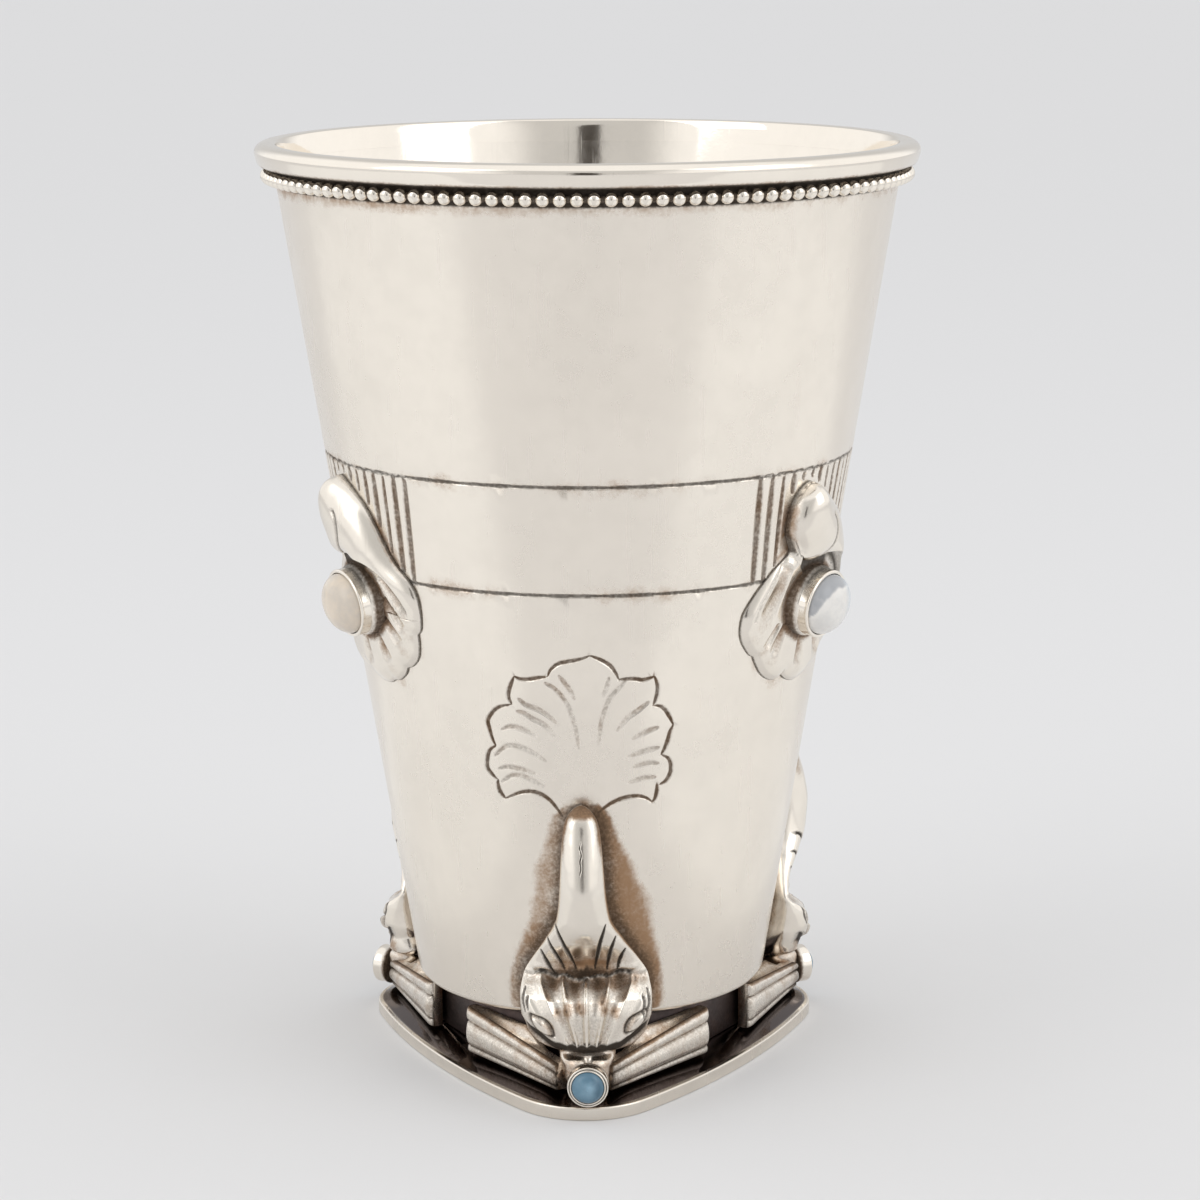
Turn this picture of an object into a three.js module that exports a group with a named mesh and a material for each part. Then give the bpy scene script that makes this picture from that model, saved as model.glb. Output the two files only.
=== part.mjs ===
// Silver beaker on a three-cornered foot. A conical cup with a beaded lip stands on a dark foot block,
// three dolphins climb its wall from the corners of the plate, and three shells with set stones sit between.
// Millimetres, +Z up, origin in the middle of the underside. Azimuth 0 faces -Y and grows towards +X.
import * as THREE from 'three';

// Foot: plate with a bevelled top, and the block between plate and cup
const PLATE_REACH = 43.5;
const PLATE_CORNER_RADIUS = 14;
const PLATE_SIDE_RADIUS = 140;
const PLATE_EDGE = 2.3;
const BEVEL_WIDTH = 5.6;
const BEVEL_RISE = 1.8;
const BLOCK_HEIGHT = 9.6;
const BLOCK_CORNER_RADIUS = 20;
const BLOCK_SIDE_RADIUS = 400;

// Cup, lip and beaded wire
const CUP_BOTTOM_RADIUS = 30.5;
const CUP_TOP_RADIUS = 53.4;
const CUP_HEIGHT = 142.3;
const CUP_WALL = 1.2;
const CUP_FLOOR = 1.6;
const CUP_EDGE_ROUND = 1.2;
const LIP_OVERHANG = 3.1;
const LIP_HEIGHT = 4.0;
const LIP_SHOULDER = 2.4;
const LIP_SEAT_INSET = 1.4;
const BEAD_COUNT = 128;
const BEAD_RADIUS = 1.05;
const BEAD_NECK_RADIUS = 0.6;
const BEAD_DROP = 1.35;

// Shells on the wall, with an oval collet and stone each
const SHELL_CENTRE = 84.6;
const SHELL_EDGE = 1.0;
const SHELL_SEAT = 1.4;
const SHELL_SWELL = 1.1;
const KNOB_PROUD = 3.4;
const KNOB_SPAN = 6.0;
const COLLET_WIDTH = 13.6;
const COLLET_HEIGHT = 11.6;
const COLLET_DEPTH = 2.8;
const COLLET_WALL = 0.6;
const COLLET_FLOOR = 0.7;
const OVAL_GIRDLE = 1.7;
const OVAL_DOME = 3.4;

// Dolphins, their fins, and the bezel and stone in each mouth
const FIN_FACING = 50;
const FIN_LENGTH = 22;
const FIN_OUTER_TOP = 8.2;
const FIN_INNER_TOP = 4.6;
const FIN_BACK = 1.5;
const FIN_RISE = 0.35;
const FIN_RIDGE = 1.5;
const FIN_RIDGES = 3;
const BEZEL_RADIUS = 3.5;
const BEZEL_DEPTH = 2.6;
const BEZEL_WALL = 0.7;
const BEZEL_FLOOR = 0.6;
const ROUND_GIRDLE = 1.5;
const ROUND_DOME = 1.7;

// Clearance left for solder between fixed pieces, and round a stone in its setting
const SOLDER_GAP = 0.3;
const STONE_GAP = 0.25;

// Facets round the large turned pieces, the small settings, and the ring sections
const CUP_FACETS = 64;
const LIP_FACETS = 3;
const BEAD_FACETS = 4;
const SETTING_FACETS = 24;
const PLATE_FACETS = 72;
const DOLPHIN_FACETS = 18;
const RIDGE_FACETS = 3;
const FIN_SPANS = 4;
const SHELL_RINGS = [0, 0.35, 0.7, 1];
const DOME_RINGS = [0.4, 0.75, 1];
const EDGE_RINGS = [0, 0.5, 1];

const TABLE = PLATE_EDGE + BEVEL_RISE;
const CUP_BOTTOM = TABLE + BLOCK_HEIGHT;
const LIP_BOTTOM = CUP_BOTTOM + CUP_HEIGHT;
const LIP_OUTER_RADIUS = CUP_TOP_RADIUS + LIP_OVERHANG;
const WALL_SLOPE = (CUP_TOP_RADIUS - CUP_BOTTOM_RADIUS) / CUP_HEIGHT;
const DOLPHINS = { front: 0, right: 120, left: -120 };
const SHELLS = { right: 60, left: -60, back: 180 };

const polished = () => new THREE.MeshStandardMaterial({ color: 0xdcd6ca, metalness: 1, roughness: 0.2 });
const oxidised = () => new THREE.MeshStandardMaterial({ color: 0x2b2523, metalness: 0.9, roughness: 0.35 });
const moonstone = () => new THREE.MeshStandardMaterial({ color: 0xc9d6de, metalness: 0, roughness: 0.1 });

const beaker = new THREE.Group();
const radians = THREE.MathUtils.degToRad;

function add(name, geometry, material, azimuth = 0) {
  const mesh = new THREE.Mesh(geometry, material);
  mesh.name = name;
  const turned = new THREE.Group();
  turned.rotation.z = radians(azimuth);
  turned.add(mesh);
  beaker.add(turned);
}

// Radius of the cup's outside at a height
function wallRadius(z) {
  return CUP_BOTTOM_RADIUS + WALL_SLOPE * (z - CUP_BOTTOM);
}

// Surface that carries the dolphins: the cup's wall, and below it the block's corner under the cup's edge
function backing(z) {
  return Math.max(CUP_BOTTOM_RADIUS, wallRadius(z)) + SOLDER_GAP;
}

// Triangle with bowed sides and round corners, one corner at azimuth 0; gives its radius at an azimuth
class RoundTriangle {
  constructor(reach, cornerRadius, sideRadius) {
    this.cornerRadius = cornerRadius;
    this.sideRadius = sideRadius;
    this.cornerCentre = reach - cornerRadius;
    const span = sideRadius - cornerRadius;
    const d = this.cornerCentre;
    this.sideCentre = (Math.sqrt(4 * span * span - 3 * d * d) - d) / 2;
    const across = this.sideCentre * Math.sin(radians(60));
    const along = d + this.sideCentre * Math.cos(radians(60));
    this.tangent = Math.atan2((cornerRadius * across) / span, d + (cornerRadius * along) / span);
  }

  radius(azimuth, inset = 0) {
    const third = radians(120);
    const fromCorner = Math.abs(azimuth - third * Math.round(azimuth / third));
    if (fromCorner < this.tangent) {
      const d = this.cornerCentre;
      const r = this.cornerRadius - inset;
      return d * Math.cos(fromCorner) + Math.sqrt(r * r - (d * Math.sin(fromCorner)) ** 2);
    }
    const fromSide = radians(60) - fromCorner;
    const e = this.sideCentre;
    const r = this.sideRadius - inset;
    return Math.sqrt(r * r - (e * Math.sin(fromSide)) ** 2) - e * Math.cos(fromSide);
  }

  // Distance from the axis to the straight line that touches the corner's arc and faces an azimuth
  touching(azimuth) {
    return this.cornerCentre * Math.cos(azimuth) + this.cornerRadius;
  }

  ring(z, inset = 0) {
    return Array.from({ length: PLATE_FACETS }, (_, i) => {
      const azimuth = (2 * Math.PI * i) / PLATE_FACETS;
      const r = this.radius(azimuth, inset);
      return new THREE.Vector3(r * Math.sin(azimuth), -r * Math.cos(azimuth), z);
    });
  }
}

// Solid skinned over closed rings of as many points each, with a cap on the first and the last.
// The rings run counter-clockwise seen from the last one.
function loft(rings) {
  const count = rings[0].length;
  const points = rings.flat();
  const faces = [];
  for (let k = 0; k + 1 < rings.length; k += 1) {
    for (let i = 0; i < count; i += 1) {
      const a = k * count + i;
      const b = k * count + ((i + 1) % count);
      faces.push(a, b, b + count, a, b + count, a + count);
    }
  }
  const capped = [[rings[0], 0, true], [rings.at(-1), (rings.length - 1) * count, false]];
  for (const [ring, first, turned] of capped) {
    const middle = points.length;
    points.push(ring.reduce((sum, p) => sum.add(p), new THREE.Vector3()).divideScalar(count));
    for (let i = 0; i < count; i += 1) {
      const a = first + i;
      const b = first + ((i + 1) % count);
      faces.push(middle, turned ? b : a, turned ? a : b);
    }
  }
  const geometry = new THREE.BufferGeometry().setFromPoints(points);
  geometry.setIndex(faces);
  return geometry;
}

// Turned solid about Z from points of radius and height, listed up the outside and down the inside
function turned(profile, facets) {
  const points = profile.map(([r, z]) => new THREE.Vector2(r, z));
  return new THREE.LatheGeometry(points, facets).rotateX(Math.PI / 2);
}

const plate = new RoundTriangle(PLATE_REACH, PLATE_CORNER_RADIUS, PLATE_SIDE_RADIUS);
const block = new RoundTriangle(CUP_BOTTOM_RADIUS, BLOCK_CORNER_RADIUS, BLOCK_SIDE_RADIUS);

// Height of the plate's top at a distance in from its edge
function plateTop(inset) {
  return PLATE_EDGE + BEVEL_RISE * THREE.MathUtils.clamp(inset / BEVEL_WIDTH, 0, 1);
}

function basePlate() {
  return loft([plate.ring(0), plate.ring(PLATE_EDGE), plate.ring(TABLE, BEVEL_WIDTH)]);
}

function footBlock() {
  return loft([block.ring(TABLE), block.ring(CUP_BOTTOM)]);
}

// Cup: floor with a rounded edge, straight sloping wall, open at the top
function cup() {
  const innerFloor = CUP_BOTTOM + CUP_FLOOR;
  const roundEdge = EDGE_RINGS.map((share) => {
    const turn = (share * Math.PI) / 2;
    return [
      CUP_BOTTOM_RADIUS - CUP_EDGE_ROUND * (1 - Math.sin(turn)),
      CUP_BOTTOM + CUP_EDGE_ROUND * (1 - Math.cos(turn)),
    ];
  });
  return turned([
    [0, CUP_BOTTOM],
    ...roundEdge,
    [CUP_TOP_RADIUS, LIP_BOTTOM],
    [CUP_TOP_RADIUS - CUP_WALL, LIP_BOTTOM],
    [wallRadius(innerFloor) - CUP_WALL, innerFloor],
    [0, innerFloor],
  ], CUP_FACETS);
}

// Lip: heavy rounded band soldered on the wall's top edge, flush inside and overhanging outside
function lipBand() {
  const inner = CUP_TOP_RADIUS - CUP_WALL;
  const top = LIP_BOTTOM + LIP_HEIGHT;
  const shoulder = LIP_BOTTOM + LIP_SHOULDER;
  const crown = (inner + LIP_OUTER_RADIUS) / 2;
  const seat = LIP_OUTER_RADIUS - LIP_SEAT_INSET;
  const section = new THREE.Path();
  section.moveTo(inner, LIP_BOTTOM);
  section.lineTo(seat, LIP_BOTTOM);
  section.quadraticCurveTo(LIP_OUTER_RADIUS, LIP_BOTTOM, LIP_OUTER_RADIUS, shoulder);
  section.quadraticCurveTo(LIP_OUTER_RADIUS, top, crown, top);
  section.quadraticCurveTo(inner, top, inner, shoulder);
  section.lineTo(inner, LIP_BOTTOM);
  return turned(section.getPoints(LIP_FACETS).map((p) => [p.x, p.y]), CUP_FACETS);
}

// Beaded wire under the lip: a ring that swells to a bead and narrows to a neck between beads
function beadWire() {
  const height = LIP_BOTTOM - BEAD_DROP;
  const centre = wallRadius(height) + SOLDER_GAP + BEAD_RADIUS;
  const sides = BEAD_FACETS;
  const steps = BEAD_COUNT * 2;
  const points = [];
  const faces = [];
  for (let k = 0; k < steps; k += 1) {
    const azimuth = (2 * Math.PI * k) / steps;
    const swell = k % 2 ? BEAD_NECK_RADIUS : BEAD_RADIUS;
    for (let i = 0; i < sides; i += 1) {
      const turn = (2 * Math.PI * i) / sides;
      const r = centre + swell * Math.cos(turn);
      const z = height + swell * Math.sin(turn);
      points.push(new THREE.Vector3(r * Math.sin(azimuth), -r * Math.cos(azimuth), z));
      const next = ((k + 1) % steps) * sides;
      const a = k * sides + i;
      const b = k * sides + ((i + 1) % sides);
      const c = next + ((i + 1) % sides);
      const d = next + i;
      faces.push(a, d, c, a, c, b);
    }
  }
  const geometry = new THREE.BufferGeometry().setFromPoints(points);
  geometry.setIndex(faces);
  return geometry;
}

// Shell outline round the middle of its stone: knob at the top, cowl down the right, five lobes below.
// Each point is across and up from the stone's middle.
const SHELL_OUTLINE = [
  [-6.6, 9.2], [-11.6, 5.0], [-14.8, 1.6], [-15.8, -2.4], [-14.6, -6.0], [-12.6, -8.0],
  [-10.8, -11.2], [-7.0, -13.2], [-3.4, -12.5], [0.2, -14.3], [4.0, -13.0], [8.0, -12.8],
  [11.2, -9.4], [12.2, -6.8], [14.2, -4.4], [14.6, -0.6], [13.2, 3.6], [9.6, 7.6],
  [7.2, 12.2], [4.2, 16.8], [0.4, 20.0], [-3.6, 21.1], [-6.8, 19.0], [-8.1, 15.0],
];
const KNOB = new THREE.Vector2(-2.2, 14.0);

// Shell: hugs the wall behind, flat where the collet stands, swelling to a knob at the top
function shell() {
  const corners = SHELL_OUTLINE.map(([across, up]) => new THREE.Vector3(across, up, 0));
  const outline = new THREE.CatmullRomCurve3(corners, true).getPoints(SHELL_OUTLINE.length * 2).slice(1);
  const margin = 2 * SOLDER_GAP;
  const seatPlane = wallRadius(SHELL_CENTRE) + SOLDER_GAP + SHELL_SEAT;
  const rings = (place) => SHELL_RINGS.map((share) => outline.map((point) => {
    const turn = Math.atan2(point.y, point.x);
    const wide = COLLET_WIDTH / 2 + margin;
    const tall = COLLET_HEIGHT / 2 + margin;
    const seat = (wide * tall) / Math.hypot(tall * Math.cos(turn), wide * Math.sin(turn));
    const reach = seat + (Math.hypot(point.x, point.y) - seat) * share;
    return place(reach * Math.cos(turn), reach * Math.sin(turn), share);
  }));
  const behind = (across, up) => {
    const r = wallRadius(SHELL_CENTRE + up) + SOLDER_GAP;
    return new THREE.Vector3(across, -Math.sqrt(r * r - across * across), SHELL_CENTRE + up);
  };
  const front = (across, up, share) => {
    const point = behind(across, up);
    if (share === 0) {
      point.y = -(seatPlane + WALL_SLOPE * up);
      return point;
    }
    const off = KNOB.distanceTo(new THREE.Vector2(across, up)) / KNOB_SPAN;
    const knob = KNOB_PROUD * Math.exp(-off * off) * (1 - share * share);
    point.y -= SHELL_EDGE + SHELL_SWELL * (1 - share) + knob;
    return point;
  };
  return loft([...rings(behind), ...rings(front).reverse()]);
}

// Open-fronted setting with a floor, its axis along -Y from the origin, stretched to an oval
function setting(width, height, depth, wall, floor) {
  const outer = width / 2;
  const inner = outer - wall;
  const profile = [[0, 0], [outer, 0], [outer, depth], [inner, depth], [inner, floor], [0, floor]];
  return turned(profile, SETTING_FACETS).rotateX(Math.PI / 2).scale(1, 1, height / width);
}

// Cabochon with an upright girdle under a rounded dome, its axis along -Y from the origin
function cabochon(width, height, girdle, dome) {
  const radius = width / 2;
  const crown = DOME_RINGS.map((share) => {
    const turn = (share * Math.PI) / 2;
    return [radius * Math.cos(turn), girdle + dome * Math.sin(turn)];
  });
  crown[crown.length - 1][0] = 0;
  const profile = [[0, 0], [radius, 0], [radius, girdle], ...crown];
  return turned(profile, SETTING_FACETS).rotateX(Math.PI / 2).scale(1, 1, height / width);
}

function colletBase() {
  return wallRadius(SHELL_CENTRE) + 2 * SOLDER_GAP + SHELL_SEAT;
}

// Collets and their stones stand square to the leaning wall
function squareToWall(piece) {
  return piece.rotateX(Math.atan(WALL_SLOPE)).translate(0, -colletBase(), SHELL_CENTRE);
}

function collet() {
  return squareToWall(setting(COLLET_WIDTH, COLLET_HEIGHT, COLLET_DEPTH, COLLET_WALL, COLLET_FLOOR));
}

function ovalStone() {
  const inset = 2 * (COLLET_WALL + STONE_GAP);
  const stone = cabochon(COLLET_WIDTH - inset, COLLET_HEIGHT - inset, OVAL_GIRDLE, OVAL_DOME);
  return squareToWall(stone.translate(0, -(COLLET_FLOOR + STONE_GAP), 0));
}

// Dolphin from the lips up to the tail's tip: height above the plate's table, half width, how far its
// front stands out from what carries it, and how far its back stands clear of that
const DOLPHIN_LIPS = [4.9, 4.8, 11.4, 0];
const DOLPHIN_STATIONS = [
  [0.3, 3.8, 9.4, 0],
  [2.2, 4.4, 11.2, 0],
  DOLPHIN_LIPS,
  [6.9, 6.5, 9.9, 0],
  [8.4, 8.3, 10.3, 0],
  [10.2, 9.9, 10.6, 0],
  [12.9, 10.9, 10.8, 0],
  [15.9, 11.1, 9.5, 0],
  [17.9, 10.8, 6.9, 0],
  [19.1, 10.5, 4.9, 0],
  [20.1, 10.0, 4.6, 0],
  [22.4, 8.6, 5.4, 0],
  [25.9, 6.5, 7.9, 0.2],
  [30.1, 4.4, 9.7, 1.4],
  [34.3, 3.7, 9.5, 2.2],
  [38.9, 3.3, 8.1, 1.8],
  [42.9, 2.9, 6.2, 0.8],
  [45.9, 2.5, 4.0, 0],
  [47.9, 1.9, 2.1, 0],
  [48.9, 0.8, 1.0, 0],
];

function dolphin() {
  return loft(DOLPHIN_STATIONS.map(([height, halfWidth, front, back]) => {
    const z = TABLE + height;
    const middle = backing(z) + (front + back) / 2;
    const halfDepth = (front - back) / 2;
    return Array.from({ length: DOLPHIN_FACETS }, (_, i) => {
      const turn = (2 * Math.PI * i) / DOLPHIN_FACETS;
      return new THREE.Vector3(halfWidth * Math.sin(turn), -middle - halfDepth * Math.cos(turn), z);
    });
  }));
}

// Fin: a ridged fan standing on the plate, from the lips back to the side of the block.
// side is 1 for the fin on the +X side of a dolphin facing -Y, and -1 for the other.
function fin(side) {
  const facing = radians(FIN_FACING);
  const out = new THREE.Vector2(Math.sin(facing), -Math.cos(facing));
  const run = new THREE.Vector2(Math.cos(facing), Math.sin(facing));
  const foot = out.clone().multiplyScalar(block.touching(facing) + SOLDER_GAP + FIN_BACK);
  const rootAcross = DOLPHIN_LIPS[1] + SOLDER_GAP + FIN_BACK * out.x;
  const root = foot.clone().addScaledVector(run, (rootAcross - foot.x) / run.x);
  const bottom = TABLE + SOLDER_GAP;
  const section = (share) => {
    const at = root.clone().addScaledVector(run, share * FIN_LENGTH);
    const tall = THREE.MathUtils.lerp(FIN_INNER_TOP, FIN_OUTER_TOP, share) - SOLDER_GAP;
    const place = (off, up) => {
      const p = at.clone().addScaledVector(out, off);
      return new THREE.Vector3(side * p.x, p.y, bottom + up);
    };
    const face = Array.from({ length: FIN_RIDGES * RIDGE_FACETS + 1 }, (_, i) => {
      const up = i / (FIN_RIDGES * RIDGE_FACETS);
      const ridge = Math.abs(Math.sin(Math.PI * FIN_RIDGES * up));
      return place(FIN_RIDGE * ridge, up * tall);
    });
    const rise = Math.min(1, share / FIN_RISE);
    const rear = THREE.MathUtils.lerp(FIN_INNER_TOP, FIN_OUTER_TOP, rise) - SOLDER_GAP;
    return [...face, place(-FIN_BACK, rear), place(-FIN_BACK, 0)];
  };
  const rings = Array.from({ length: FIN_SPANS + 1 }, (_, k) => section(k / FIN_SPANS));
  return loft(side > 0 ? rings.reverse() : rings);
}

// The mouth's bezel stands on the plate's bevel, against the dolphin's lips
function bezelBase() {
  const [height, , front] = DOLPHIN_LIPS;
  return backing(TABLE + height) + front + SOLDER_GAP;
}

function bezelHeight() {
  return plateTop(PLATE_REACH - bezelBase()) + SOLDER_GAP + BEZEL_RADIUS;
}

function mouthBezel() {
  return setting(2 * BEZEL_RADIUS, 2 * BEZEL_RADIUS, BEZEL_DEPTH, BEZEL_WALL, BEZEL_FLOOR)
    .translate(0, -bezelBase(), bezelHeight());
}

function roundStone() {
  const width = 2 * (BEZEL_RADIUS - BEZEL_WALL - STONE_GAP);
  const base = bezelBase() + BEZEL_FLOOR + STONE_GAP;
  return cabochon(width, width, ROUND_GIRDLE, ROUND_DOME).translate(0, -base, bezelHeight());
}

add('base_plate', basePlate(), polished());
add('foot_block', footBlock(), oxidised());
add('cup', cup(), polished());
add('lip_band', lipBand(), polished());
add('bead_wire', beadWire(), polished());

for (const [place, azimuth] of Object.entries(DOLPHINS)) {
  add(`dolphin_${place}`, dolphin(), polished(), azimuth);
  add(`fin_${place}_a`, fin(-1), polished(), azimuth);
  add(`fin_${place}_b`, fin(1), polished(), azimuth);
  add(`mouth_bezel_${place}`, mouthBezel(), polished(), azimuth);
  add(`mouth_stone_${place}`, roundStone(), moonstone(), azimuth);
}

for (const [place, azimuth] of Object.entries(SHELLS)) {
  add(`shell_${place}`, shell(), polished(), azimuth);
  add(`collet_${place}`, collet(), polished(), azimuth);
  add(`oval_stone_${place}`, ovalStone(), moonstone(), azimuth);
}

export default beaker;
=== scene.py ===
"""Silver beaker with shells, dolphins and set stones, dressed over its CAD frame.

Sizes in the code are millimetres, turned to metres when a mesh is made. Azimuth 0 faces -Y and grows
towards +X. On the wall a place is given as the arc to the right of an azimuth and the height.
"""
import math

import bpy
import numpy as np
from mathutils import Matrix, Vector
from mathutils.geometry import delaunay_2d_cdt


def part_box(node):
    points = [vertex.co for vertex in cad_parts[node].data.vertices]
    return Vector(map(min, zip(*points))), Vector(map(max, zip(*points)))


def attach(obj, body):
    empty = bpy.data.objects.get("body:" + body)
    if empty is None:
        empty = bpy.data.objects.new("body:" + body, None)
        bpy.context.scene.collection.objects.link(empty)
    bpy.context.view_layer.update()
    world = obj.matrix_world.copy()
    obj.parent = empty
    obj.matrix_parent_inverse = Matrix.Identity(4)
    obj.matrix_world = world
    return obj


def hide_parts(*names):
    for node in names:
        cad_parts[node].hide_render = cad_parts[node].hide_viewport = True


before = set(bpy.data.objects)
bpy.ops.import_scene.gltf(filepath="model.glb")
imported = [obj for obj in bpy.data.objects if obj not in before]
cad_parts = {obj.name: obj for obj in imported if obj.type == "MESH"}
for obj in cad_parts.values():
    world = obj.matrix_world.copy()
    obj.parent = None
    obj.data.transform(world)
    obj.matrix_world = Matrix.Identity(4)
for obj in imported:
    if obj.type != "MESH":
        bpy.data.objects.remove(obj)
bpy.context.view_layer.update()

bl_info = {
    "name": "Silver Beaker",
    "version": (1, 0, 0),
    "blender": (4, 5, 0),
    "location": "View3D > Sidebar > Beaker",
    "description": "Builds a silver beaker with shells, dolphins and set stones over its CAD frame",
    "category": "Add Mesh",
}

MM = 0.001
DOLPHINS = {"front": 0.0, "right": 120.0, "left": -120.0}
SHELLS = {"right": 60.0, "left": -60.0, "back": 180.0}

CUP_LOW, CUP_HIGH = (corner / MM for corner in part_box("cup"))
LIP_LOW, LIP_HIGH = (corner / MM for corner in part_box("lip_band"))
BEAD_LOW, BEAD_HIGH = (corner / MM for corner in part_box("bead_wire"))
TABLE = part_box("base_plate")[1].z / MM
WALL_FOOT_RADIUS = 30.5
WALL_SLOPE = (CUP_HIGH.x - WALL_FOOT_RADIUS) / (CUP_HIGH.z - CUP_LOW.z)
CUP_WALL = 1.2
CUP_FLOOR = 1.6
FOOT_ROUNDING = 1.2
WALL_LOW, WALL_HIGH = CUP_LOW.z + FOOT_ROUNDING, CUP_HIGH.z
CUP_COLUMNS = 192
LIP_COLUMNS = 224
SETTING_COLUMNS = 96
SOLDER_GAP = 0.3
SHELL_CENTRE = 84.6
BEAD_RING = (BEAD_HIGH.x - BEAD_LOW.x) / 2
BEAD_LIFT = -0.2
BEAD_HEIGHT = (BEAD_HIGH.z + BEAD_LOW.z) / 2 + BEAD_LIFT


# Settings

def length(name, description, millimetres):
    return bpy.props.FloatProperty(
        name=name, description=description, default=millimetres * MM, unit="LENGTH")


def turning(name, description, degrees):
    return bpy.props.FloatProperty(
        name=name, description=description, default=math.radians(degrees), subtype="ANGLE")


def colour(name, description, default):
    return bpy.props.FloatVectorProperty(
        name=name, description=description, default=default, subtype="COLOR", size=3, min=0, max=1)


class EngravingSettings(bpy.types.PropertyGroup):
    """Engraved lines, strokes and palmettes on the cup's wall"""
    upper_line: length("Upper Line", "Height of the upper engraved line", 107.7)
    lower_line: length("Lower Line", "Height of the lower engraved line", 89.4)
    line_width: length("Line Width", "Width of the two engraved lines", 0.9)
    line_depth: length("Line Depth", "Depth of the two engraved lines", 0.22)
    stroke_count: bpy.props.IntProperty(
        name="Strokes", description="Strokes in the fan over each shell", default=13, min=3)
    stroke_pitch: turning("Stroke Pitch", "Angle between strokes at the upper line", 3.35)
    stroke_width: length("Stroke Width", "Widest part of a stroke", 1.75)
    stroke_depth: length("Stroke Depth", "Depth of a stroke", 0.26)
    palmette_width: length("Outline Width", "Widest part of the cuts round a palmette", 0.92)
    palmette_depth: length("Outline Depth", "Depth of the cuts round a palmette", 0.26)
    rib_width: length("Rib Width", "Widest part of the chased ribs in a palmette", 1.1)
    rib_depth: length("Rib Depth", "Depth of the chased ribs in a palmette", 0.19)


class BeadSettings(bpy.types.PropertyGroup):
    """Beaded wire under the lip"""
    count: bpy.props.IntProperty(
        name="Beads", description="Beads round the cup", default=128, min=12)
    radius: length("Bead Radius", "Radius of one bead", 1.16)
    neck: length("Neck Radius", "Radius of the wire between the beads", 0.55)


class CastingSettings(bpy.types.PropertyGroup):
    """Dolphins, fins and shells"""
    flute_depth: length("Forehead Flutes", "Depth of the flutes on a dolphin's forehead", 1.15)
    brow_depth: length("Brow Depth", "Depth of the crease under a dolphin's hood", 0.6)
    fin_ridge: length("Fin Ridge", "How far a fin's ridges stand out", 1.5)
    shell_flute: length("Shell Flutes", "Depth of the flutes in a shell", 0.6)


class FinishSettings(bpy.types.PropertyGroup):
    """Colours of the finishes"""
    silver: colour("Silver", "Polished silver", (0.90, 0.838, 0.752))
    tarnish: colour("Tarnish", "Brown bloom on the silver", (0.40, 0.255, 0.155))
    # the patina colour also paints the shade and dark reflections marked on the pieces
    patina_and_shade: colour("Patina", "Dark patina in the cuts", (0.034, 0.025, 0.018))
    oxide: colour("Oxide", "Blackened silver of the foot", (0.052, 0.040, 0.038))
    # the milky colour also paints the white highlight on the oval stones
    oval_stone: colour("Oval Stones", "Milky body of the oval stones", (0.82, 0.80, 0.765))
    # the warm colour paints the reflection of the silver on the oval stones
    reflected_silver: colour("Warm Milk", "Body of the oval stones where they are warm", (0.74, 0.62, 0.48))
    round_stone: colour("Round Stones", "Milky blue body of the round stones", (0.29, 0.46, 0.58))


class StageSettings(bpy.types.PropertyGroup):
    """Floor, light and camera"""
    floor: colour("Floor", "Colour of the floor", (0.74, 0.74, 0.748))
    bounce: colour("Bounce Cards", "Colour of the cards beside the cup", (0.86, 0.865, 0.87))
    distance: length("Distance", "Camera's distance from the cup's axis", 576.4)
    height: length("Height", "Camera's height", 200.35)
    shift: length("Shift", "Camera's shift to the right", 1.84)
    turn: turning("Turn", "Camera's turn round the cup", 1.6)
    pitch: turning("Pitch", "Camera's tilt below the horizon", 11.805)
    roll: turning("Roll", "Camera's tilt to one side", -0.217724)
    lens: bpy.props.FloatProperty(
        name="Lens", description="Focal length in millimetres", default=101.0)


# Curves, grids and meshes

def smoothstep(low, high, value):
    share = np.clip((np.asarray(value, float) - low) / (high - low), 0, 1)
    return share * share * (3 - 2 * share)


def bell(offset, width):
    return np.exp(-(np.asarray(offset, float) / width) ** 2)


def smooth_path(points, step):
    """Points about a step apart on a smooth open curve through the given ones."""
    p = np.asarray(points, float)
    ends = np.vstack([2 * p[0] - p[1], p, 2 * p[-1] - p[-2]])
    pieces = []
    for a, b, c, d in zip(ends[:-3], ends[1:-2], ends[2:-1], ends[3:]):
        count = max(1, math.ceil(np.linalg.norm(c - b) / step))
        t = (np.arange(count) / count)[:, None]
        pieces.append(0.5 * (2 * b + (c - a) * t + (2 * a - 5 * b + 4 * c - d) * t ** 2
                             + (3 * b - a - 3 * c + d) * t ** 3))
    return np.vstack([*pieces, p[-1:]])


def hermite(xs, ys, x):
    """Smooth curve through the points without overshoot."""
    xs, ys = np.asarray(xs, float), np.asarray(ys, float)
    slope = np.diff(ys) / np.diff(xs)
    tangent = np.zeros(len(xs))
    both = slope[:-1] * slope[1:] > 0
    tangent[1:-1][both] = 2 * slope[:-1][both] * slope[1:][both] / (slope[:-1] + slope[1:])[both]
    tangent[0], tangent[-1] = slope[0], slope[-1]
    k = np.clip(np.searchsorted(xs, x) - 1, 0, len(xs) - 2)
    h = xs[k + 1] - xs[k]
    t = (x - xs[k]) / h
    return ((2 * t ** 3 - 3 * t ** 2 + 1) * ys[k] + (t ** 3 - 2 * t ** 2 + t) * h * tangent[k]
            + (-2 * t ** 3 + 3 * t ** 2) * ys[k + 1] + (t ** 3 - t ** 2) * h * tangent[k + 1])


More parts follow.
